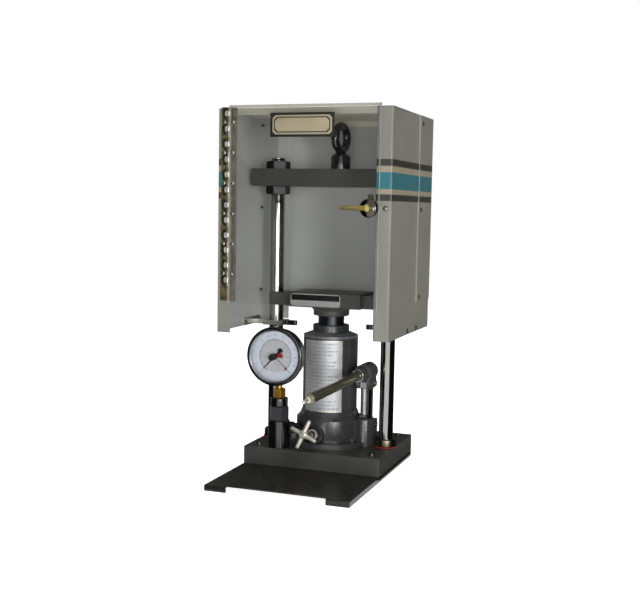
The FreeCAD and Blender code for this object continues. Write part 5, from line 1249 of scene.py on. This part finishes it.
@dataclass
class Studio:
    """The floor, the lamps, the cards and the camera."""

    camera_at: tuple[float, float, float] = (0.7518, -2.1674, 0.5751)
    yaw: float = 19.784
    pitch: float = 5.095
    roll: float = 1.029
    focal_pixels: float = 1025.909
    image_width: float = 640.0
    sensor: float = 36.0
    nearest: float = 0.05
    farthest: float = 60.0
    floor_size: float = 16.0
    floor_colour: Colour = (0.9, 0.9, 0.9)
    floor_glow: float = 0.9
    bounce: float = 0.45
    ambient: float = 0.12
    sky: Colour = (0.96, 0.98, 1.0)

    def build(self) -> None:
        """Sets the view, the world, the floor, the lamps, the cards and the camera."""
        bpy.context.scene.view_settings.view_transform = "Standard"
        self.make_world()
        self.make_floor()
        for lamp in LAMPS:
            lamp.build()
        for card in CARDS:
            card.build(self.yaw)
        self.make_camera()

    def make_world(self) -> None:
        """A white surround as seen and reflected, and a plainer one as a source of light."""
        world = bpy.data.worlds.new("studio")
        bpy.context.scene.world = world
        tree = cleared(world)
        plain = glow(tree, self.sky, self.ambient, "ShaderNodeBackground")
        seen = glow(tree, WHITE, 1.0, "ShaderNodeBackground")
        show(tree, by_ray(tree, plain, seen), "ShaderNodeOutputWorld")

    def make_floor(self) -> None:
        """A pale floor that keeps the object's soft shadow and is lost in the white round it."""
        corners = [(x, y, 0.0) for x, y in rectangle(self.floor_size, self.floor_size)]
        _, tree = stage_mesh("floor", corners, [[0, 1, 2, 3]])
        matt = tree.nodes.new("ShaderNodeBsdfDiffuse")
        matt.inputs["Color"].default_value = (*self.floor_colour, 1.0)
        light = by_ray(tree, glow(tree, WHITE, self.bounce), glow(tree, WHITE, self.floor_glow))
        add = tree.nodes.new("ShaderNodeAddShader")
        tree.links.new(light, add.inputs[0])
        tree.links.new(matt.outputs["BSDF"], add.inputs[1])
        show(tree, add.outputs["Shader"])

    def make_camera(self) -> None:
        """The photograph's viewpoint: turned left of straight ahead, a little down and a little rolled."""
        yaw, pitch, roll = np.radians([self.yaw, self.pitch, self.roll]).tolist()
        ahead = Vector((-math.sin(yaw) * math.cos(pitch), math.cos(yaw) * math.cos(pitch), -math.sin(pitch)))
        level = Vector((math.cos(yaw), math.sin(yaw), 0.0))
        upright = level.cross(ahead)
        right = level * math.cos(roll) + upright * math.sin(roll)
        top = upright * math.cos(roll) - level * math.sin(roll)
        data = bpy.data.cameras.new("camera")
        data.sensor_width = self.sensor
        data.lens = self.focal_pixels / self.image_width * self.sensor
        data.clip_start = self.nearest
        data.clip_end = self.farthest
        camera = bpy.data.objects.new("camera", data)
        turn = Matrix((right, top, -ahead)).transposed()
        camera.matrix_world = Matrix.Translation(self.camera_at) @ turn.to_4x4()
        bpy.context.scene.collection.objects.link(camera)
        bpy.context.scene.camera = camera


# The press's own parts


@dataclass
class Assembly:
    """What each sub-assembly has: the workshop that makes its pieces."""

    shop: Workshop

    def build(self) -> None:
        """Makes the pieces, which each sub-assembly says for itself."""
        raise NotImplementedError


@dataclass
class Columns(Assembly):
    """The two ground columns with their threaded ends."""

    radius: float = 0.015875
    pitch: float = 0.0025
    thread_depth: float = 0.0012
    thread_overlap: float = 0.02
    thread_end: float = 0.0025
    steps_in_pitch: int = 4
    plain_rings: int = 12
    last_step: float = 0.002
    chamfer: tuple[float, float] = (0.0018, 0.0015)
    turns: int = 64

    def build(self) -> None:
        """Makes each column as one turned surface, threaded where the jam nuts sit."""
        low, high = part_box("columns")
        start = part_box("crosshead_nuts")[0].z - self.thread_overlap
        side = high.x - self.radius
        height = np.concatenate(
            [
                np.linspace(low.z, start, self.plain_rings),
                np.arange(start, high.z - self.last_step, self.pitch / self.steps_in_pitch),
                [high.z - self.chamfer[1], high.z],
            ]
        )
        columns = [moved(self.column(height, start), (x, 0.0, 0.0)) for x in (-side, side)]
        shape = join(columns)
        self.shop.piece("ground_columns", shape, Slot.CHROMED_STEEL, "frame", ["columns"], crease=50.0)

    def column(self, height: Array, start: float) -> Shape:
        """One column: above the start its radius dips in a wave of one pitch that climbs with the angle.

        The radius is R - D w, with w a triangle wave of (z / pitch - angle / a full turn).

        Args:
            height: The height of each ring.
            start: Where the thread starts.

        Returns:
            The vertices and the faces, about the column's own axis.
        """
        angle = once_round(self.turns)
        phase = (height[:, None] / self.pitch - angle / (4.0 * QUARTER_TURN)) % 1.0
        threaded = (height[:, None] > start) & (height[:, None] < height[-1] - self.thread_end)
        radius = self.radius - np.where(threaded, np.abs(phase * 2.0 - 1.0) * self.thread_depth, 0.0)
        radius[-1] -= self.chamfer[0]
        return capped(swept(radius, height, angle))


@dataclass
class ScrewHeads(Assembly):
    """The driver's recesses in the hinge screws and the guard's side screws, drawn as dark crosses: painted
    shade for the hollows.
    """

    hinge_cross: tuple[float, float] = (0.0019, 0.0009)
    guard_cross: tuple[float, float] = (0.0026, 0.0012)
    thickness: float = 0.00005
    second_bar: float = 1.2
    spin: float = 25.0
    front_row: float = -0.192
    front_reach: float = 0.02
    cover_sheet: float = 0.0015
    cover_level: float = 0.35

    def build(self) -> None:
        """Puts a cross in each head."""
        for node, body in (("hinge_fixed_screws", "frame"), ("hinge_moving_screws", "door")):
            heads = [self.cross(self.hinge_cross, centre, FRONT) for centre in head_centres(node, 1, -1)]
            self.shop.piece(f"{node}_recess", join(heads), Slot.POINTER_BLACK, body)
        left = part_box("guard_screws")[0].x
        heads = []
        for x, y, z in head_centres("guard_screws", 0, 1):
            if abs(y - self.front_row) < self.front_reach:
                continue
            side = 1.0
            if x <= 0.0:
                side = -1.0
                x = left if z > self.cover_level else left + self.cover_sheet
            heads.append(self.cross(self.guard_cross, (x, y, z), (side, 0.0, 0.0)))
        self.shop.piece("guard_screws_recess", join(heads), Slot.POINTER_BLACK, "frame")

    def cross(self, size: tuple[float, float], at: Sequence[float], towards: Sequence[float]) -> Shape:
        """The dark cross of a driver's recess, painted shade for the hollow, as two thin bars that stand a
        hair proud of the head.

        Args:
            size: Half the cross's width, and the width of an arm.
            at: The middle of the head.
            towards: The way that the head faces.

        Returns:
            The vertices and the faces.
        """
        reach, arm = size
        bars = [
            slab(rectangle(2 * reach, arm), self.thickness),
            slab(rectangle(arm, 2 * reach), self.thickness * self.second_bar),
        ]
        return aimed(join(bars), at, towards, math.radians(self.spin))


@dataclass
class Plates(Assembly):
    """The plate on the door, the plate on the bolster and the label on the jack, all bare."""

    sheet: float = 0.0004
    door_corner: float = 0.0015
    door_clip: float = 0.006
    door_layers: tuple[tuple[float, Slot], ...] = (
        (0.0050, Slot.PLATE_METAL),
        (0.0086, Slot.POINTER_BLACK),
        (0.0108, Slot.PLATE_METAL),
    )
    bolster_plate: tuple[float, float, float, float] = (-0.0795, 0.0395, 0.358, 0.3885)
    bolster_back: float = 0.0008
    bolster_corner: float = 0.004
    bolster_border: float = 0.0012
    strip: tuple[float, float, float] = (0.0125, 0.0035, 0.0006)
    label_half_angle: float = 44.0
    label_gap: float = 0.00025
    label_sheet: float = 0.0002
    label_bottom: float = 0.127
    label_top: float = 0.286
    label_rim: float = 0.0022
    rule_share: float = 0.88
    rule_lengths: tuple[float, ...] = (0.9, 0.72, 0.96, 0.8, 0.64, 0.92, 0.86, 0.97, 0.7, 0.94, 0.88)
    rule_height: float = 0.0026
    rules: int = 19
    dash_lengths: tuple[float, ...] = (0.11, 0.05, 0.17, 0.08, 0.13, 0.04, 0.09)
    dash_gap: float = 0.035
    dash_stride: int = 3
    dash_steps: int = 6

    def build(self) -> None:
        """Makes all three."""
        self.make_door_plate()
        self.make_bolster_plate()
        self.make_label()

    def make_door_plate(self) -> None:
        """The framed plate near the top of the door: a dark frame and three layers, each over the last."""
        low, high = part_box("door_nameplate")
        x, _, z = (low + high) / 2
        width = high.x - low.x
        height = high.z - low.z
        back = slab(rectangle(width, height, self.door_corner), high.y - low.y)
        shape = facing_front(back, (x, high.y, z))
        self.shop.piece("door_plate_frame", shape, Slot.POINTER_BLACK, "door", ["door_nameplate"])
        for number, (inset, look) in enumerate(self.door_layers, start=1):
            outline = rectangle(width - 2 * inset, height - 2 * inset, self.door_clip)
            layer = facing_front(slab(outline, self.sheet * number), (x, low.y, z))
            self.shop.piece(f"door_plate_layer_{number}", layer, look, "door")

    def make_bolster_plate(self) -> None:
        """The plate on the bolster's front face, with a dark strip near its top."""
        left, right, bottom, top = self.bolster_plate
        width = right - left
        height = top - bottom
        middle = (bottom + top) / 2
        tall, inset, proud = self.strip
        border = 2 * self.bolster_border
        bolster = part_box("bolster")[0].y
        face = bolster - self.bolster_back
        backing = rectangle(width, height, self.bolster_corner)
        ground = rectangle(width - border, height - border, self.bolster_corner)
        strip = rectangle(width - 2 * inset, tall)
        for name, outline, thick, y, z, look in (
            ("back", backing, self.bolster_back, bolster, middle, Slot.POINTER_BLACK),
            ("field", ground, self.sheet, face, middle, Look.PLATE_SILVER),
            ("strip", strip, proud, face, top - inset - tall / 2, Look.DARK_NUT),
        ):
            shape = facing_front(slab(outline, thick), ((left + right) / 2, y, z))
            self.shop.piece(f"bolster_plate_{name}", shape, look, "ram_head")

    def make_label(self) -> None:
        """The bright label wrapped round the jack, with a rim and faint rules."""
        low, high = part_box("reservoir_tube")
        radius = (high.x - low.x) / 2 + self.label_gap
        printed = radius + self.label_sheet
        half = math.radians(self.label_half_angle)
        turn = self.label_rim / radius
        bottom, top = self.label_bottom, self.label_top
        edges = [
            self.wrapped(printed, half - turn, half, bottom, top),
            self.wrapped(printed, -half, turn - half, bottom, top),
            self.wrapped(printed, -half, half, bottom, bottom + self.label_rim),
            self.wrapped(printed, -half, half, top - self.label_rim, top),
        ]
        sheet = self.wrapped(radius, -half, half, bottom, top)
        self.shop.piece("jack_label", sheet, Look.LABEL_SILVER, "frame")
        self.shop.piece("jack_label_rim", join(edges), Slot.CAST_HANDLE, "frame")
        self.shop.piece("jack_label_rules", join(self.label_rules(printed, half)), Look.LABEL_PRINT, "frame")

    def label_rules(self, radius: float, half: float) -> list[Shape]:
        """Rows of plain grey dashes of several lengths, given as angles round the tube.

        Args:
            radius: The radius of the printed face.
            half: Half the angle that the label covers.

        Returns:
            One shape for each dash.
        """
        gap = (self.label_top - self.label_bottom) / (self.rules + 1)
        start = -half * self.rule_share
        thick = self.rule_height / 2
        dashes = []
        for row in range(self.rules):
            level = self.label_top - gap * (row + 1)
            at = start
            end = start - 2 * start * self.rule_lengths[row % len(self.rule_lengths)]
            step = row
            while at < end:
                long = self.dash_lengths[step % len(self.dash_lengths)]
                last = min(at + long, end)
                dashes.append(self.wrapped(radius, at, last, level - thick, level + thick, self.dash_steps))
                at += long + self.dash_gap
                step += self.dash_stride
        return dashes

    def wrapped(
        self, radius: float, start: float, end: float, bottom: float, top: float, steps: int = 40
    ) -> Shape:
        """A thin curved strip round the Z axis, from one clock angle to another.

        A point at clock angle c and height z lies at (r sin c, -r cos c, z).

        Args:
            radius: The outer radius.
            start: The first clock angle, in radians.
            end: The last clock angle.
            bottom: The height of the lower edge.
            top: The height of the upper edge.
            steps: How many points it has along its length.

        Returns:
            The vertices and the faces.
        """
        angle = np.linspace(start, end, steps) - QUARTER_TURN
        inner = radius - self.label_sheet
        points = swept(np.array([inner, radius, radius, inner]), np.array([bottom, bottom, top, top]), angle)
        first = steps * np.arange(4)
        ends = [first.tolist(), (first[::-1] + steps - 1).tolist()]
        return points.reshape(-1, 3), grid_faces(4, steps, whole=False, closed=True) + ends


@dataclass(frozen=True)
class Scale:
    """A printed scale: marks round the sweep, longer at every few steps, and upright numbers within."""

    name: str
    look: Slot | Look
    radius: float
    steps: int
    every: int
    lengths: tuple[float, float]
    numbers: range
    number_radius: float
    figure: float
    thick: float = 0.0003

    def build(self, sweep: float, print_height: float) -> Shape:
        """Makes the marks and the numbers.

        Args:
            sweep: How far the scale runs to each side of the top, in degrees.
            print_height: How thick the print is.

        Returns:
            The vertices and the faces, about the dial's middle.
        """
        parts = []
        half = math.radians(sweep)
        for index in range(self.steps + 1):
            length = self.lengths[0] if index % self.every == 0 else self.lengths[1]
            mark = slab(rectangle(self.thick, length), print_height)
            points, faces = moved(mark, (0.0, self.radius - length / 2, 0.0))
            parts.append((clockwise(points, half * (2 * index / self.steps - 1)), faces))
        for index, number in enumerate(self.numbers):
            clock = half * (2 * index / (len(self.numbers) - 1) - 1)
            place = (self.number_radius * math.sin(clock), self.number_radius * math.cos(clock), 0.0)
            parts.append(moved(letters(str(number), self.figure, print_height), place))
        return join(parts)


SCALES = (
    Scale(
        "dial_outer_scale", Look.DIAL_PRINT, radius=0.0548, steps=120, every=10, lengths=(0.004, 0.002),
        numbers=range(0, 25, 2), number_radius=0.0460, figure=0.0036,
    ),
    Scale(
        "dial_inner_scale", Slot.SET_HAND_RED, radius=0.0330, steps=60, every=5, lengths=(0.0026, 0.0014),
        numbers=range(13), number_radius=0.0275, figure=0.0028,
    ),
)


@dataclass
class GaugeFace(Assembly):
    """The printed dial, the needle and the set hand of the pressure gauge."""

    sweep: float = 135.0
    print_height: float = 0.00012
    disc_radius: float = 0.0352
    arc_width: float = 0.0026
    arc_sweep: float = 150.0
    slope: tuple[float, float, float] = (0.0553, 0.0580, 0.4)
    shade: tuple[float, float, float] = (0.0575, 0.0594, 0.8)
    tail: tuple[tuple[float, float], ...] = (
        (0.0022, 0.0010), (0.0072, 0.0062), (0.0124, 0.0082), (0.0168, 0.0098), (0.0176, 0.0136),
        (0.0152, 0.0172), (0.0118, 0.0186), (0.0080, 0.0176), (0.0052, 0.0142), (0.0060, 0.0078),
        (0.0010, 0.0022),
    )
    tail_thick: float = 0.0005
    tail_sunk: float = 0.0002
    paddle: tuple[tuple[float, float], ...] = (
        (0.0, -0.0012), (0.0050, -0.0024), (0.0188, -0.0024), (0.0176, 0.0048), (0.0128, 0.0080),
        (0.0076, 0.0060), (0.0036, 0.0020), (0.0, 0.0012),
    )
    paddle_thick: float = 0.0007
    half_blade: tuple[tuple[float, float], ...] = (
        (0.0006, -0.006), (0.0004, 0.032), (0.0016, 0.0345), (0.0016, 0.0385), (0.0, 0.042),
    )
    blade_thick: float = 0.0006
    knob_radius: float = 0.0074
    knob_levels: tuple[float, ...] = (0.0, 0.0012, 0.0165, 0.019)
    knob_shares: tuple[float, ...] = (0.985, 1.0, 1.0, 0.86)
    plain_share: float = 0.9
    flutes: int = 18
    flute_depth: float = 0.03
    stem: tuple[float, float] = (0.0025, 0.006)

    def build(self) -> None:
        """Prints the dial and makes the two hands."""
        low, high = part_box("gauge_dial")
        self.x = (low.x + high.x) / 2
        self.z = (low.z + high.z) / 2
        self.print_ground(low.y)
        self.make_bezel_rings()
        self.print_scales(low.y)
        self.make_pointer_tail()
        self.make_set_hand()

    def print_ground(self, face: float) -> None:
        """The greyer disc in the middle of the dial and the darker arc round it.

        Args:
            face: How far forward the dial's face is.
        """
        outer = self.disc_radius + self.arc_width
        disc = arc_band(0.0, self.disc_radius, 0.0, 360.0)[ARC_STEPS:]
        arc = arc_band(self.disc_radius, outer, -self.arc_sweep, self.arc_sweep)
        for name, outline, look in (
            ("dial_grey_disc", disc, Look.DIAL_GREY),
            ("dial_grey_arc", arc, Look.DIAL_ARC),
        ):
            layer = slab(outline, self.print_height / 2)
            self.shop.piece(name, facing_front(layer, (self.x, face, self.z)), look, "frame")

    def print_scales(self, face: float) -> None:
        """The outer scale and the inner one.

        Args:
            face: How far forward the dial's face is.
        """
        for scale in SCALES:
            shape = scale.build(self.sweep, self.print_height)
            self.shop.piece(scale.name, facing_front(shape, (self.x, face, self.z)), scale.look, "frame")

    def make_bezel_rings(self) -> None:
        """The bezel's bright slope in front of the glass, and the dark ring outside it."""
        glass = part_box("gauge_glass")[0].y
        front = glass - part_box("gauge_bezel")[0].y
        for name, (inner, outer, rise), look in (
            ("gauge_bezel_slope", self.slope, Look.BEZEL_SLOPE),
            ("gauge_bezel_shade", self.shade, Slot.GAUGE_BLACK),
        ):
            section = [(inner, 0.0), (outer, 0.0), (outer, front * rise)]
            ring = lathe(section, turns=ARC_STEPS, closed=True)
            self.shop.piece(name, facing_front(ring, (self.x, glass, self.z)), look, "frame")

    def make_pointer_tail(self) -> None:
        """The broad black counterweight of the needle, on the far side from its point."""
        at = (self.x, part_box("gauge_pointer")[0].y + self.tail_sunk, self.z)
        tail = facing_front(slab(np.array(self.tail), self.tail_thick), at)
        self.shop.piece("pointer_tail", tail, Slot.POINTER_BLACK, "gauge_needle")

    def make_set_hand(self) -> None:
        """The red hand behind the glass, and the fluted black knob in front that turns it."""
        low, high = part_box("gauge_set_hand")
        behind = (self.x, high.y, self.z)
        half = np.array(self.half_blade)
        blade = clockwise(np.vstack([half, half[-2::-1] * (-1.0, 1.0)]), math.radians(self.sweep))
        parts = [slab(blade, self.blade_thick), slab(np.array(self.paddle), self.paddle_thick)]
        hand = facing_front(join(parts), behind)
        self.shop.piece("set_hand_blade", hand, Slot.SET_HAND_RED, "gauge_marker")
        radius, length = self.stem
        stem = lathe([(0.0, 0.0), (radius, 0.0), (radius, length), (0.0, length)], turns=24)
        knob = facing_front(self.knob(), (self.x, low.y + self.knob_levels[-1], self.z))
        shape = join([knob, facing_front(stem, behind)])
        self.shop.piece("set_hand_knob", shape, Slot.POINTER_BLACK, "gauge_marker", ["gauge_set_hand"])

    def knob(self) -> Shape:
        """The knob: its radius is R (1 + d cos(n a)) / (1 + d) at angle a, and plain on its narrow front.

        Returns:
            The vertices and the faces.
        """
        angle = once_round(ARC_STEPS)
        share = np.array(self.knob_shares)[:, None]
        fluted = np.where(share > self.plain_share, 1.0 + self.flute_depth * np.cos(angle * self.flutes), 1.0)
        radius = self.knob_radius / (1.0 + self.flute_depth) * share * fluted
        return capped(swept(radius, np.array(self.knob_levels), angle))


@dataclass
class PumpHandle(Assembly):
    """The pump handle: a painted bar with a bright cap and a thin bright end."""

    reach: float = 0.357
    cap_radius: float = 0.006
    cap_length: float = 0.013
    tip_radius: float = 0.0035
    round_off: float = 0.0012

    def build(self) -> None:
        """Turns the bar and its bright end as two surfaces on one axis."""
        low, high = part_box("pump_handle")
        bar_end = high.y + self.reach
        cap_end = bar_end + self.cap_length
        tip_end = high.y - low.y
        radius = (high.x - low.x) / 2
        cut = self.round_off
        bar = [
            (0.0, 0.0), (radius - cut, 0.0), (radius, cut), (radius, bar_end - cut), (radius - cut, bar_end),
            (0.0, bar_end),
        ]
        cap = [
            (0.0, bar_end), (self.cap_radius, bar_end), (self.cap_radius, cap_end - cut),
            (self.cap_radius - cut, cap_end), (self.tip_radius, cap_end), (self.tip_radius, tip_end - cut),
            (self.tip_radius - cut, tip_end), (0.0, tip_end),
        ]
        at = ((low.x + high.x) / 2, high.y, (low.z + high.z) / 2)
        for name, profile, slot in (
            ("pump_handle_bar", bar, Slot.HANDLE_PAINT),
            ("pump_handle_end", cap, Slot.CAST_HANDLE),
        ):
            turned = facing_front(lathe(profile), at)
            self.shop.piece(name, turned, slot, self.shop.owner["pump_handle"], ["pump_handle"])


@dataclass(frozen=True)
class Mark:
    """One kind of oval mark on the fixed hinge leaf, a painted highlight or a painted shadow: its shift to
    the left, half sizes and thickness.
    """

    name: str
    look: Look
    shift: float
    wide: float
    tall: float
    thick: float


@dataclass
class HingeWear(Assembly):
    """Painted highlights on the long hinge's knuckles and fixed leaf, each with a painted shadow beside it.
    """

    radius: float = 0.00312
    wall: float = 0.001
    tall: float = 0.0135
    narrowing: float = 0.0004
    taper: float = 0.003
    offsets: tuple[float, float] = (0.018, -0.0135)
    marks: tuple[Mark, ...] = (
        Mark("hinge_leaf_shadows", Look.LEAF_STAIN, 0.0094, 0.0062, 0.0128, 0.00004),
        Mark("hinge_leaf_highlights", Look.KNUCKLE_WEAR, 0.0058, 0.0038, 0.0064, 0.00008),
    )

    def build(self) -> None:
        """Sets a thin sleeve with drawn-in ends round the pin's axis at each painted highlight, and marks the
        leaf with painted highlights and shadows.
        """
        low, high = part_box("hinge_pin")
        x = (low.x + high.x) / 2
        y = (low.y + high.y) / 2
        leaf = y + (high.x - low.x) / 2
        screws = head_centres("hinge_moving_screws", 1, -1)[:, 2]
        levels = (screws[:, None] + np.array(self.offsets)).reshape(-1)
        inner = self.radius - self.wall
        drawn = self.radius - self.narrowing
        half = self.tall / 2
        profile = [
            (drawn, -half), (self.radius, self.taper - half), (self.radius, half - self.taper), (drawn, half),
            (inner, half), (inner, -half),
        ]
        sleeve = lathe(profile, turns=32, closed=True)
        sleeves = join(moved(sleeve, (x, y, level)) for level in levels)
        self.shop.piece("hinge_knuckle_highlights", sleeves, Look.KNUCKLE_WEAR, "door")
        for mark in self.marks:
            oval = slab(ellipse(mark.wide, mark.tall), mark.thick)
            ovals = join(facing_front(oval, (x - mark.shift, leaf, level)) for level in levels)
            self.shop.piece(mark.name, ovals, mark.look, "frame")


@dataclass
class Trim(Assembly):
    """Thin painted highlights: the ring on the valve's bonnet, the clear door's edges and the cover's edges.
    """

    valve_yaw: float = 5.2
    valve_tilt: float = 12.2
    valve_at: tuple[float, float, float] = (-0.0034, -0.085, 0.0798)
    ring: tuple[float, float] = (0.0085, 0.0125)
    proud: float = 0.0004
    edge: float = 0.001
    edge_proud: float = 0.0001
    top_edge: float = 0.0052
    cover_edge: tuple[float, float] = (0.0008, 0.0042)

    def build(self) -> None:
        """Makes all three."""
        self.make_valve_ring()
        self.make_door_edges()
        self.make_cover_edges()

    def make_valve_ring(self) -> None:
        """A painted highlight: a bright flat ring on the bonnet's front face, found as far along the valve's
        axis as it reaches.

        The axis is (-sin y cos t, -cos y cos t, sin t), for its yaw y and its tilt t.
        """
        yaw = math.radians(self.valve_yaw)
        tilt = math.radians(self.valve_tilt)
        axis = np.array([-math.sin(yaw) * math.cos(tilt), -math.cos(yaw) * math.cos(tilt), math.sin(tilt)])
        start = np.array(self.valve_at)
        reach = ((mesh_points(frame["nodes"]["release_bonnet"].data) - start) @ axis).max()
        inner, outer = self.ring
        ring = lathe([(inner, 0.0), (outer, 0.0), (outer, self.proud), (inner, self.proud)], closed=True)
        ring = aimed(ring, start + axis * reach, axis)
        self.shop.piece("release_bonnet_highlight", ring, Slot.CAST_HANDLE, "frame")

    def make_door_edges(self) -> None:
        """Painted highlights on the edges of the clear sheet: a thin pale bar down each side and a taller one
        along the top.
        """
        low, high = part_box("door_sheet")
        depth = high.y - low.y + self.edge_proud
        bar = slab(rectangle(self.edge, high.z - low.z), depth)
        sides = (low.x + self.edge / 2, high.x - self.edge / 2)
        bars = join(facing_front(bar, (side, high.y, (low.z + high.z) / 2)) for side in sides)
        self.shop.piece("door_sheet_edge_highlights", bars, Look.SHEET_EDGE, "door")
        top = slab(rectangle(high.x - low.x, self.top_edge), depth)
        place = ((low.x + high.x) / 2, high.y, high.z - self.top_edge / 2)
        self.shop.piece("door_sheet_top_highlight", facing_front(top, place), Look.SHEET_TOP, "door")

    def make_cover_edges(self) -> None:
        """A painted highlight along the front edge of the rear cover on both sides."""
        low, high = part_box("guard_rear_cover")
        wide, deep = self.cover_edge
        bar = slab(rectangle(wide, high.z - low.z), deep)
        bars = join(facing_front(bar, (side, low.y + deep, (low.z + high.z) / 2)) for side in (low.x, high.x))
        self.shop.piece("rear_cover_edge_highlights", bars, Look.COVER_EDGE, "frame")


PLAIN_NODES = ("gauge_dial", "gauge_glass", "gauge_pointer", "door_sheet")
REPLACED_NODES = ("columns", "door_nameplate", "gauge_set_hand", "pump_handle")
EASED_EDGE = 0.0003
OTHER_EDGES = {
    "base_block": 0.0,
    "crosshead": 0.0,
    "guard_panel_left": 0.0004,
    "guard_panel_right": 0.0004,
    "guard_top": 0.0004,
    "guard_rear_cover": 0.0004,
    "hydraulic_seals": 0.0,
    "ram_seal": 0.0,
    "check_valves": 0.0,
    "lifting_eye": 0.0,
}


def main() -> None:
    """Builds every piece in order."""
    logging.basicConfig(level=logging.INFO, format="%(message)s")
    shop = Workshop()
    shop.dress_nodes()
    for node in frame["nodes"]:
        if node not in PLAIN_NODES + REPLACED_NODES:
            shop.refined(node, OTHER_EDGES.get(node, EASED_EDGE))
    for assembly in (Columns, ScrewHeads, Plates, GaugeFace, PumpHandle, Trim, HingeWear):
        assembly(shop).build()
    Studio().build()


if __name__ == "__main__":
    main()
